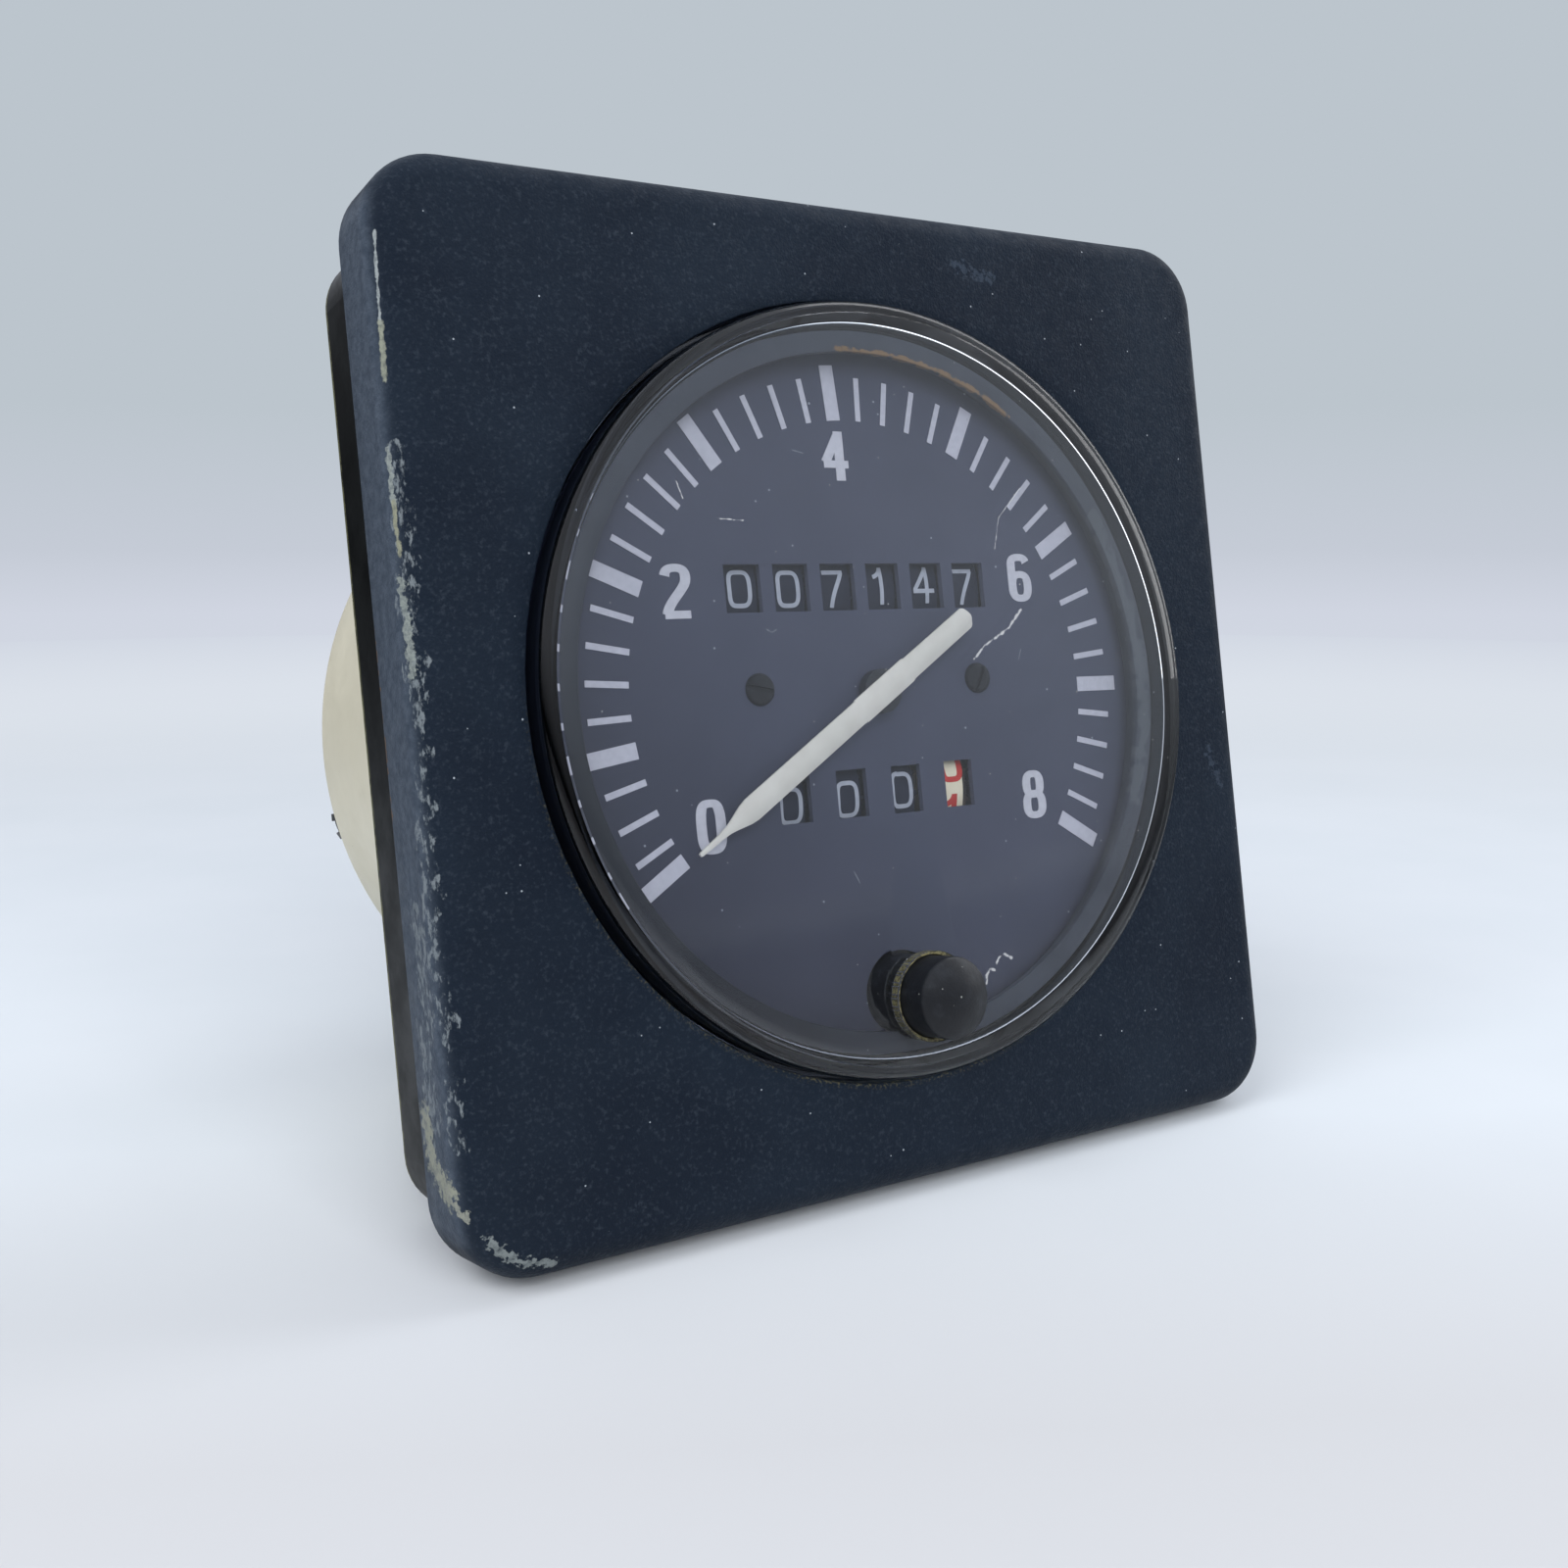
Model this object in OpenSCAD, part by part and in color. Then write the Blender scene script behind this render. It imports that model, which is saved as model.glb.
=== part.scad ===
// Boat speed and distance log for a bulkhead: a pointer dial in knots, a total counter
// and a trip counter with a push-button reset, in a square bezel on a surface frame.
// The origin is on the dial's axis, in the plane of the panel that the frame sits on.
// X is to the right seen from the front, Y goes into the panel and Z is up.

/* [Bezel] */
// How far each side of the square cover stands out beyond the housing
cover_margin = 11; // [9:0.5:16]
// Depth of the cover from its front face to its rear rim
bezel_depth = 9.4; // [8.6:0.1:12]
// Corner radius of the cover seen from the front
bezel_corner_r = 8; // [6:0.5:12]
// Rounding between the front face and the sides
bezel_edge_r = 3.1; // [1:0.1:4]
// Thickness of the front wall
bezel_front_t = 2.6; // [2:0.1:3.2]
// Thickness of the side walls
bezel_wall_t = 2.4; // [1.6:0.1:2.8]
// Gap between the lens and the edge of the round opening
aperture_gap = 0.5; // [0.3:0.1:1]
// Length of each snap rib inside the side walls
snap_length = 22; // [10:1:40]

/* [Surface frame] */
// How far the frame stands out behind the cover
frame_reach = 14.6; // [12:0.1:20]
// Play between the frame and the cover's side walls
frame_play = 0.5; // [0.3:0.1:0.8]
// Thickness of the frame's walls and of its seat plate
frame_wall_t = 2.4; // [1.8:0.1:3]
// Corner radius of the frame
frame_corner_r = 6.8; // [5:0.1:9]
// Thickness of the stiffening ribs
frame_rib_t = 1.6; // [1:0.1:2.4]

/* [Housing] */
// Outer radius of the round housing, which fits the panel cut-out
housing_r = 44; // [43.5:0.1:44.4]
// How far the housing stands out behind the panel
housing_back = 44.6; // [43.6:0.1:52]
// Wall thickness of the housing
housing_wall_t = 2; // [1.5:0.1:2.4]
// Rounding of the rear edge
housing_edge_r = 1.6; // [0.6:0.1:2.4]
// Step from the housing's outside to the land that is pressed into the frame's collar
press_step = 0.2; // [0.1:0.05:0.2]

/* [Lens] */
// How much smaller the clear cap's radius is than the housing's
lens_step = 1; // [0.6:0.1:1.4]
// How far the lens stands proud of the cover
lens_proud = 3.2; // [2:0.1:5]
// Wall thickness of the lens
lens_wall_t = 2.3; // [1.8:0.1:2.5]
// Rounding of the lens's front edge
lens_edge_r = 2.2; // [0.8:0.1:2.3]
// Width of the lens's flange outside its wall
lens_lip_w = 2.3; // [1.5:0.1:2.4]
// Thickness of the lens's flange
lens_lip_t = 1.5; // [1:0.1:1.6]
// Thickness of the rubber seal under the flange
seal_t = 1.1; // [0.8:0.1:1.4]

/* [Dial] */
// Depth of the dial's face behind the cover's front face
dial_depth = 4; // [3.6:0.1:4.4]
// Thickness of the dial plate
dial_t = 0.7; // [0.5:0.1:1]
// Height of the printed marks above the dial
mark_h = 0.1; // [0.05:0.05:0.2]
// Gap between the long marks and the trim ring's lip
mark_margin = 0.6; // [0.3:0.1:1.5]
// Length of the long marks, one for each knot
long_mark_length = 6.3; // [5.5:0.1:6.5]
// Length of the short marks
short_mark_length = 5; // [4:0.1:5.3]
// Width of the long marks
long_mark_w = 1.8; // [1:0.1:2.4]
// Width of the short marks
short_mark_w = 0.7; // [0.4:0.1:1]
// Depth of the trim ring round the dial
trim_depth = 3; // [2:0.1:3.4]
// Width of the trim ring's lip
trim_lip_w = 2.4; // [1.8:0.1:2.6]
// Distance of the two dial screws from the axis
dial_screw_x = 15.2; // [14.5:0.1:16.5]
// Height of the two dial screws above the axis
dial_screw_z = 1; // [0.8:0.1:1.1]

/* [Pointer] */
// Gap between the pointer's tip and the scale marks
pointer_gap = 0.9; // [0.5:0.1:5]
// Length from the axis to the end of the tail
pointer_tail = 15.3; // [10:0.1:18]
// Width of the pointer's blade
pointer_w = 2.7; // [1.8:0.1:3.2]
// Height of the pointer's ridge
pointer_h = 1; // [0.7:0.1:1.2]
// Height of the pointer's underside above the dial
pointer_lift = 2; // [1.6:0.1:2.3]
// Angle of the zero mark from the top of the dial, anticlockwise
zero_angle = 122.2; // [110:0.1:125]

/* [Counters] */
// Radius of the counter drums
drum_r = 9.2; // [9:0.05:9.3]
// Depth of the drums' fronts behind the dial's rear face
drum_gap = 0.4; // [0.3:0.05:0.8]
// Height of the total counter's shaft above the axis
total_z = 12.1; // [12:0.05:12.8]
// Pitch of the total counter's drums
total_pitch = 6.27; // [6.15:0.01:6.35]
// Width of the total counter's digit rims
total_rim_w = 4.7; // [4.2:0.05:4.8]
// Depth of the trip counter's shaft below the axis
trip_z = 11.25; // [11.15:0.05:11.8]
// Pitch of the trip counter's drums
trip_pitch = 7.65; // [7.5:0.01:7.8]
// Width of the trip counter's digit rims
trip_rim_w = 3.6; // [3.2:0.05:3.8]
// Shift of both counters to the left of the axis
counter_shift = 0.4; // [0:0.05:0.8]
// Width of the total counter's windows
total_window_w = 4.6; // [4.4:0.05:4.7]
// Height of the total counter's windows
total_window_h = 5.3; // [5:0.05:5.6]
// Width of the trip counter's windows
trip_window_w = 4.1; // [3.9:0.05:4.4]
// Height of the trip counter's windows
trip_window_h = 5.4; // [5:0.05:5.6]

/* [Counter gears] */
// Module of the drums' gear rings and transfer pinions
ring_module = 0.75; // [0.74:0.005:0.76]
// Teeth on a drum's gear ring
ring_teeth = 20; // [20:1:20]
// Teeth on a transfer pinion
pinion_teeth = 8; // [8:1:8]
// Module of the drive gears
drive_module = 0.55; // [0.54:0.005:0.56]
// Width of a trip drum's gear ring
trip_ring_w = 1.2; // [0.9:0.05:1.3]
// Width of a total drum's gear ring
total_ring_w = 1; // [0.8:0.05:1]
// Face width of the drive gears beside the frame
drive_gear_w = 1; // [0.8:0.05:1.1]

/* [Counter frame] */
// Half the width of the frame inside its side plates
frame_half_w = 21.6; // [20.8:0.1:22]
// Thickness of the sheet steel
sheet_t = 1; // [0.8:0.1:1.2]
// Space behind the panel plane in front of the back plate
frame_depth = 5.5; // [5:0.1:6]
// Radius of the drum shafts
drum_shaft_r = 1; // [0.8:0.05:1.2]
// Radius of the pinion shafts
pinion_shaft_r = 0.8; // [0.6:0.05:0.9]
// Running clearance of all turning pieces
running_gap = 0.04; // [0.02:0.01:0.06]

/* [Movement] */
// Radius of the steel shield can
can_r = 13.5; // [13.2:0.1:14.5]
// Length of the shield can
can_length = 20; // [18.5:0.1:21]
// Radius of the magnet rotor
rotor_r = 5; // [3.5:0.1:5.4]
// Radius of the pointer's spindle
spindle_r = 0.8; // [0.6:0.05:0.9]

/* [Reset] */
// Distance of the reset knob's axis inside the lens's outer radius
knob_inset = 8.8; // [8.6:0.05:9]
// Radius of the reset knob
knob_r = 4.5; // [4:0.1:4.6]
// How far the knob stands out in front of the lens, at its rim
knob_out = 3.8; // [3:0.1:8]
// Height of the knob's dome
knob_dome_h = 1; // [0.5:0.1:1.5]
// Travel of the knob
knob_travel = 2.5; // [2:0.1:2.6]
// Radius of the push rod
rod_r = 2; // [1.6:0.1:2.2]

/* [Circuit board] */
// Gap between the round circuit board and the housing's wall
board_gap = 4; // [3:0.5:6]
// Thickness of the circuit board
board_t = 1.6; // [1:0.1:2]
// Length of the posts between the counter frame and the board
post_length = 22.5; // [22:0.1:23.4]
// Sideways distance of the posts from the axis
post_x = 18; // [17.5:0.1:19]
// Height distance of the posts from the axis
post_z = 20; // [19:0.1:20.5]
// Radius of the posts
post_r = 2; // [1.8:0.1:2.4]

/* [Rear fittings] */
// Radius of the two mounting studs
stud_r = 2; // [1.5:0.1:2.5]
// Distance of the two mounting studs inside the housing's outer radius
stud_inset = 13; // [11:0.5:14]
// Length of the studs behind the housing
stud_length = 16; // [10:0.5:24]
// Sideways distance of the lamp holders inside the housing's outer radius
lamp_inset = 8.7; // [8.4:0.1:9.4]
// Depth of the lamp holders below the axis
lamp_z = 8; // [6:0.1:9]
// Radius of the lamp holders' grips
lamp_grip_r = 5.5; // [5:0.1:5.8]
// Length of the lamp holders' grips
lamp_grip_length = 9; // [6:0.1:12]
// Pitch of the blade terminals
blade_pitch = 8; // [7.5:0.1:8.4]
// Width of the blade terminals
blade_w = 6.3; // [4.8:0.1:6.4]
// Length of the blades behind their block
blade_length = 8; // [6:0.5:10]

/* [Hidden] */

$fn = 96;
eps = 0.01;

// Depths along the dial's axis, from the front to the back
bezel_rear_y = -frame_reach;
bezel_front_y = bezel_rear_y - bezel_depth;
bezel_inner_y = bezel_front_y + bezel_front_t;
lens_front_y = bezel_front_y - lens_proud;
lens_inner_y = lens_front_y + lens_wall_t;
lens_lip_y = bezel_inner_y + lens_lip_t;
flange_floor_y = lens_lip_y + seal_t;
dial_y = bezel_front_y + dial_depth;
dial_rear_y = dial_y + dial_t;
drum_front_y = dial_rear_y + drum_gap;
drum_y = drum_front_y + drum_r;
plate_y = frame_depth;
plate_rear_y = plate_y + sheet_t;
board_y = plate_rear_y + post_length;
board_rear_y = board_y + board_t;
housing_floor_y = housing_back - housing_wall_t;

// Radii and half widths of the casing, which follow the housing's radius
bezel_side = 2 * (housing_r + cover_margin);
lens_r = housing_r - lens_step;
knob_z = lens_r - knob_inset;
board_r = housing_r - housing_wall_t - board_gap;
stud_spacing = 2 * (housing_r - stud_inset);
shank_r = stud_r + 0.4;
lamp_x = housing_r - lamp_inset;
press_r = housing_r + press_step;
relief_length = 2;
relief_r = housing_r - 0.5;
recess_w = 1.2;
recess_depth = 0.6;
bezel_inner_half = bezel_side / 2 - bezel_wall_t;
frame_half = bezel_inner_half - frame_play;
aperture_r = lens_r + aperture_gap;
lens_lip_r = lens_r + lens_lip_w;
seat_r = lens_lip_r + 0.2;
collar_out_r = seat_r + 3;
trim_out_r = lens_r - lens_wall_t - 0.3;
trim_wall_t = 1.1;
dial_r = trim_out_r;
trim_lip_r = trim_out_r - trim_lip_w;
long_mark_out_r = trim_lip_r - mark_margin;
mark_in_r = long_mark_out_r - long_mark_length;
short_mark_out_r = mark_in_r + short_mark_length;
pointer_tip = mark_in_r - pointer_gap;
snap_h = 0.8;
snap_w = 1;
snap_y = bezel_rear_y - 2.2;

// Scale: the mark of each value is at an angle from the top, clockwise
degrees_per_knot = 31.56;
top_mark_offset = -3.86;
top_knots = 4;
full_scale = 8;
function mark_angle(knots) =
    knots == 0 ? -zero_angle : (knots - top_knots) * degrees_per_knot + top_mark_offset;

// Counters: shafts as places in Y and Z, and gear sizes
total_at = [drum_y, total_z];
trip_at = [drum_y, -trip_z];
total_count = 6;
trip_count = 4;
drive_ring_teeth = 30;
drive_pinion_teeth = 10;
idler_teeth = 30;
idler_pinion_teeth = 8;
total_drive_teeth = 32;
mesh_gap = 0.06;
function at_angle(from, distance, angle) =
    [from[0] + distance * cos(angle), from[1] + distance * sin(angle)];
function mesh_distance(teeth_a, teeth_b, mod) = mod * (teeth_a + teeth_b) / 2 + mesh_gap;
function total_x(place) = -counter_shift + total_pitch * ((total_count - 1) / 2 - place);
function trip_x(place) = -counter_shift + trip_pitch * ((trip_count - 1) / 2 - place);
transfer_distance = mesh_distance(ring_teeth, pinion_teeth, ring_module);
total_pinion_angle = -30;
total_pinion_at = at_angle(total_at, transfer_distance, total_pinion_angle);
trip_pinion_angle = 40;
trip_pinion_at = at_angle(trip_at, transfer_distance, trip_pinion_angle);
drive_angle = -10;
drive_at = at_angle(
    trip_at, mesh_distance(drive_ring_teeth, drive_pinion_teeth, drive_module), drive_angle
);
// The idler lies where its two meshes meet, behind the line of the shafts
idler_distance_a = mesh_distance(drive_pinion_teeth, idler_teeth, drive_module);
idler_distance_b = mesh_distance(idler_pinion_teeth, total_drive_teeth, drive_module);
shaft_line = total_pinion_at - drive_at;
shaft_span = norm(shaft_line);
idler_along =
    (idler_distance_a ^ 2 - idler_distance_b ^ 2 + shaft_span ^ 2) / (2 * shaft_span);
idler_aside = sqrt(idler_distance_a ^ 2 - idler_along ^ 2);
idler_at = drive_at + shaft_line / shaft_span * idler_along
    + [shaft_line[1], -shaft_line[0]] / shaft_span * idler_aside;
function direction(from, to) = atan2(to[1] - from[1], to[0] - from[0]);

// Places along X of the gear planes outside the right side plate
plate_out_x = frame_half_w + sheet_t;
gear_a_x = plate_out_x + 0.4;
gear_b_x = gear_a_x + drive_gear_w + 0.4;
gear_plate_x = gear_b_x + drive_gear_w + 0.6;
motor_r = 6.5;
motor_x = gear_plate_x + sheet_t;
motor_reach = abs(drive_at[1]) + motor_r;
motor_end_gap = 2.3;
motor_length =
    sqrt((housing_r - housing_wall_t) ^ 2 - motor_reach ^ 2) - motor_x - motor_end_gap;

// Reset: the lever turns on its shaft when the rod pushes its lower arm
lever_at = [0, -26.5];
guide_y = -9;
rod_front_y = lens_front_y - knob_out + 2;
rod_rear_y = -3;
lever_gap = 0.5;
heart_low_r = 2.4;
heart_high_r = 4.4;
heart_t = 1.4;

// Movement places along Y
chamber_y = plate_rear_y + 3.9;
chamber_length = 6.4;
bobbin_y = plate_rear_y + 2.7;
bobbin_length = 10.6;
bobbin_half = 9.5;
coil_t = 1.2;
coil_gap = 2.3;
coil_w = 2.8;

// A rounded square in the plane of the dial
module rounded_square(half, radius) {
    union() {
        square([2 * half, 2 * (half - radius)], center = true);
        square([2 * (half - radius), 2 * half], center = true);
        for (sx = [-1, 1], sz = [-1, 1])
            translate([sx * (half - radius), sz * (half - radius)])
                circle(r = radius);
    }
}

// Draws a shape of X and Z, from rear_y towards the front
module facing(rear_y, depth) {
    translate([0, rear_y, 0])
        rotate([90, 0, 0])
            linear_extrude(depth)
                children();
}

// Turns a shape of radius and Y about the dial's axis
module turned() {
    rotate([-90, 0, 0])
        rotate_extrude()
            children();
}

// A round bar along Y
module bar_y(radius, from_y, to_y, x = 0, z = 0) {
    translate([x, from_y, z])
        rotate([-90, 0, 0])
            cylinder(r = radius, h = to_y - from_y);
}

// Draws a shape of Y and Z, from x towards the right
module along_x(x, at = [0, 0]) {
    translate([x, at[0], at[1]])
        rotate([0, 90, 0])
            rotate([0, 0, 90])
                children();
}

// A round bar along X
module bar_x(radius, from_x, to_x, at) {
    along_x(from_x, at)
        cylinder(r = radius, h = to_x - from_x);
}

// A gear wheel with its first tooth along the shape's own X axis
module gear_shape(teeth, mod) {
    pitch_r = mod * teeth / 2;
    tip_r = pitch_r + 0.85 * mod;
    root_r = pitch_r - 1.15 * mod;
    half_t = 0.205 * PI * mod;
    tip_half = half_t - 0.85 * mod * tan(24);
    root_half = half_t + 0.8 * mod * tan(16);
    tip_a = asin(tip_half / tip_r);
    root_a = asin(root_half / root_r);
    polygon([
        for (i = [0 : teeth - 1])
            each [
                for (corner = [[root_r, -root_a], [tip_r, -tip_a], [tip_r, tip_a], [root_r, root_a]])
                    let (a = 360 * i / teeth + corner[1])
                        corner[0] * [cos(a), sin(a)]
            ]
    ]);
}

// A gear of some width, turned so that a tooth or a gap points along an angle
module gear(teeth, mod, width, tooth_at) {
    rotate([0, 0, tooth_at])
        linear_extrude(width)
            gear_shape(teeth, mod);
}

// A heart cam: its radius falls evenly to both sides of its low point
module heart(width, low_at) {
    steps = 16;
    rotate([0, 0, low_at])
        linear_extrude(width)
            polygon([
                for (i = [-steps : steps - 1])
                    let (r = heart_low_r + (heart_high_r - heart_low_r) * abs(i) / steps)
                        r * [cos(180 * i / steps), sin(180 * i / steps)]
            ]);
}

// Two short teeth on a drum's left face that carry the count to the next drum
module carry_teeth(tooth_at) {
    for (side = [-1, 1])
        rotate([0, 0, tooth_at + side * 9])
            translate([6.4, -0.5, 0])
                cube([1.6, 1, 0.3]);
}

// A counter drum: a digit rim, a gear ring on its right and a bore for its shaft
module drum(x, at, rim_w, ring_w, teeth, mod, tooth_at, turn) {
    along_x(x, at)
        difference() {
            union() {
                translate([0, 0, -rim_w / 2])
                    cylinder(r = drum_r, h = rim_w);
                translate([0, 0, rim_w / 2 - eps])
                    gear(teeth, mod, ring_w + eps, tooth_at);
                translate([0, 0, -rim_w / 2 - 0.3])
                    carry_teeth(180 + turn);
            }
            translate([0, 0, -rim_w / 2 - 1])
                cylinder(r = drum_shaft_r + running_gap, h = rim_w + ring_w + 2);
        }
}

// A trip drum also has a heart cam on its left, by which the reset hammer turns it back
module trip_drum(place, teeth, mod, tooth_at, turn) {
    x = trip_x(place);
    drum(x, trip_at, trip_rim_w, trip_ring_w, teeth, mod, tooth_at, turn);
    along_x(x - trip_rim_w / 2 - heart_t, trip_at)
        difference() {
            heart(heart_t + eps, turn);
            translate([0, 0, -1])
                cylinder(r = drum_shaft_r + running_gap, h = heart_t + 2);
        }
}

module total_drum(place) {
    color("#1d1f24")
        drum(
            total_x(place), total_at, total_rim_w, total_ring_w,
            ring_teeth, ring_module, total_pinion_angle, 0
        );
}

// A transfer pinion with a long hub that keeps it between two rims
module transfer_pinion(ring_x, ring_w, gap_w, at, angle) {
    hub_r = 1.5;
    hub_w = gap_w - 0.4;
    color("#c9c6b8")
        along_x(ring_x, at)
            difference() {
                union() {
                    translate([0, 0, 0.1])
                        gear(
                            pinion_teeth, ring_module, ring_w - 0.1,
                            angle + 180 + 180 / pinion_teeth
                        );
                    translate([0, 0, 0.2])
                        cylinder(r = hub_r, h = hub_w);
                }
                translate([0, 0, -1])
                    cylinder(r = pinion_shaft_r + running_gap, h = gap_w + 2);
            }
}

module total_pinion(place) {
    transfer_pinion(
        total_x(place) + total_rim_w / 2, total_ring_w, total_pitch - total_rim_w,
        total_pinion_at, total_pinion_angle
    );
}

module trip_pinion(place) {
    transfer_pinion(
        trip_x(place) + trip_rim_w / 2, trip_ring_w, trip_pitch - trip_rim_w,
        trip_pinion_at, trip_pinion_angle
    );
}

// Square front cover: a moulded shell with a rounded front edge and a round opening
module bezel() {
    half = bezel_side / 2;
    steps = 6;
    color("#262a33")
        difference() {
            union() {
                facing(bezel_rear_y, bezel_depth - bezel_edge_r)
                    rounded_square(half, bezel_corner_r);
                hull()
                    for (i = [0 : steps]) {
                        a = 90 * i / steps;
                        inset = bezel_edge_r * (1 - cos(a));
                        y = bezel_front_y + bezel_edge_r * (1 - sin(a));
                        facing(y + eps, eps)
                            offset(r = bezel_corner_r - inset, $fn = 32)
                                square(2 * (half - bezel_corner_r), center = true);
                    }
            }
            facing(bezel_rear_y + 1, bezel_rear_y + 1 - bezel_inner_y)
                rounded_square(bezel_inner_half, bezel_corner_r - bezel_wall_t);
            bar_y(aperture_r, bezel_front_y - 1, bezel_inner_y + 1);
        }
    color("#262a33")
        for (turn = [0 : 90 : 270])
            rotate([0, turn, 0])
                translate([-snap_length / 2, snap_y, bezel_inner_half - snap_h])
                    cube([snap_length, snap_w, snap_h + 0.2]);
}

// Black surface frame: a box open to the front, with a collar that carries the housing
module mounting_frame() {
    inner = frame_half - frame_wall_t;
    color("#0d0f10")
        difference() {
            union() {
                facing(0, -bezel_inner_y)
                    rounded_square(frame_half, frame_corner_r);
            }
            facing(-frame_wall_t, -bezel_inner_y)
                difference() {
                    rounded_square(inner, frame_corner_r - frame_wall_t);
                    circle(r = collar_out_r);
                    for (turn = [0 : 45 : 135])
                        rotate(turn)
                            square([4 * frame_half, frame_rib_t], center = true);
                }
            bar_y(press_r, bezel_inner_y - 1, 1);
            bar_y(press_r + recess_w, -recess_depth, 1);
            bar_y(seat_r, bezel_inner_y - 1, flange_floor_y);
            for (turn = [0 : 90 : 270])
                rotate([0, turn, 0])
                    translate([-snap_length / 2 - 1, snap_y - 0.3, frame_half - snap_h - 0.1])
                        cube([snap_length + 2, snap_w + 0.6, snap_h + 1]);
        }
}

// Ivory housing: a deep cup with a land pressed into the frame's collar, a relief at the
// panel's front and bosses for the board
module housing() {
    wall_r = housing_r - housing_wall_t;
    boss_r = 3;
    color("#c9c5b0")
        difference() {
            union() {
                turned()
                    difference() {
                        union() {
                            translate([0, flange_floor_y])
                                square([press_r, -relief_length - flange_floor_y]);
                            translate([0, -relief_length - eps])
                                square([relief_r, relief_length + 2 * eps]);
                            square([housing_r, housing_back - housing_edge_r]);
                            translate([0, housing_back - housing_edge_r - 1])
                                square([housing_r - housing_edge_r, housing_edge_r + 1]);
                            translate([housing_r - housing_edge_r, housing_back - housing_edge_r - eps])
                                intersection() {
                                    circle(r = housing_edge_r);
                                    square(housing_edge_r + 1);
                                }
                        }
                        translate([0, bezel_inner_y - 1])
                            square([wall_r, housing_floor_y - bezel_inner_y + 1]);
                    }
                for (sx = [-1, 1], sz = [-1, 1])
                    bar_y(boss_r, board_rear_y, housing_floor_y + 1, sx * post_x, sz * post_z);
            }
            for (sx = [-1, 1], sz = [-1, 1])
                bar_y(1.5, board_rear_y - 1, housing_back + 1, sx * post_x, sz * post_z);
            for (sx = [-1, 1])
                bar_y(4.6, housing_floor_y - 1, housing_back + 1, sx * lamp_x, -lamp_z);
            for (sz = [-1, 1])
                bar_y(
                    shank_r + running_gap, housing_floor_y - 1, housing_back + 1,
                    0, sz * stud_spacing / 2
                );
            for (i = [-2 : 2])
                translate([i * blade_pitch - blade_w / 2 - 0.1, housing_floor_y - 1, -0.5])
                    cube([blade_w + 0.2, housing_wall_t + 2, 1]);
        }
}

// Clear moulded cap with a rounded edge, a flange and the hole for the reset knob
module lens() {
    inner_r = lens_r - lens_wall_t;
    color([0.8, 0.85, 0.88, 0.35])
        difference() {
            turned()
                difference() {
                    union() {
                        translate([0, lens_front_y])
                            square([lens_r - lens_edge_r, lens_edge_r + 1]);
                        translate([lens_r - lens_edge_r, lens_front_y + lens_edge_r])
                            intersection() {
                                circle(r = lens_edge_r);
                                translate([0, -lens_edge_r - 1])
                                    square(lens_edge_r + 1);
                            }
                        translate([0, lens_front_y + lens_edge_r - eps])
                            square([lens_r, lens_lip_y - lens_front_y - lens_edge_r + eps]);
                        translate([0, bezel_inner_y])
                            square([lens_lip_r, lens_lip_t]);
                    }
                    translate([0, lens_inner_y])
                        square([inner_r, lens_lip_y - lens_inner_y + 1]);
                }
            bar_y(knob_r + 0.5, lens_front_y - 1, lens_inner_y + 1, 0, -knob_z);
        }
}

// Rubber ring between the lens and the housing's flange
module lens_seal() {
    color("#17181a")
        turned()
            translate([lens_r + 0.3, lens_lip_y])
                square([lens_lip_w - 0.4, seal_t]);
}

// Dark ring round the dial, with a lip towards the middle and a notch for the knob
module dial_trim_ring() {
    trim_y = dial_y - trim_depth;
    lip_t = 0.8;
    color("#3a3d44")
        difference() {
            turned()
                union() {
                    translate([trim_out_r - trim_wall_t, trim_y])
                        square([trim_wall_t, trim_depth]);
                    translate([trim_lip_r, trim_y])
                        square([trim_out_r - trim_lip_r, lip_t]);
                }
            bar_y(knob_r + 0.4, trim_y - 1, dial_y + 1, 0, -knob_z);
        }
}

// Dial plate with the counters' windows and the raised marks of the scale
module dial_plate() {
    color("#3d404a")
        facing(dial_rear_y, dial_t)
            difference() {
                circle(r = dial_r);
                circle(r = spindle_r + 1);
                translate([0, -knob_z])
                    circle(r = knob_r + 0.4);
                for (sx = [-1, 1])
                    translate([sx * dial_screw_x, dial_screw_z])
                        circle(r = 1.1);
                for (place = [0 : total_count - 1])
                    translate([total_x(place), total_z])
                        square([total_window_w, total_window_h], center = true);
                for (place = [0 : trip_count - 1])
                    translate([trip_x(place), -trip_z])
                        square([trip_window_w, trip_window_h], center = true);
            }
    color("#c5c8d0")
        for (knots = [0 : full_scale])
            scale_mark(mark_angle(knots), long_mark_out_r, long_mark_w);
    color("#c5c8d0")
        for (knots = [0 : full_scale - 1], fifth = [1 : 4])
            if (knots + fifth / 5 > 0.3)
                scale_mark(mark_angle(knots + fifth / 5), short_mark_out_r, short_mark_w);
}

// One raised mark, turned clockwise from the top of the dial
module scale_mark(angle, out_r, width) {
    rotate([0, angle, 0])
        translate([-width / 2, dial_y - mark_h, mark_in_r])
            cube([width, mark_h + 0.1, out_r - mark_in_r]);
}

// The two slotted screws that hold the dial to its pillars
module dial_screws() {
    head_r = 1.8;
    head_t = 0.7;
    slot_w = 0.5;
    color("#24262c")
        for (sx = [-1, 1])
            translate([sx * dial_screw_x, 0, dial_screw_z])
                difference() {
                    union() {
                        bar_y(head_r, dial_y - head_t, dial_y);
                        bar_y(1, dial_y - eps, dial_rear_y + 4);
                    }
                    rotate([0, sx * 20, 0])
                        translate([-head_r - 1, dial_y - head_t - 1, -slot_w / 2])
                            cube([2 * head_r + 2, 1.35, slot_w]);
                }
}

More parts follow.
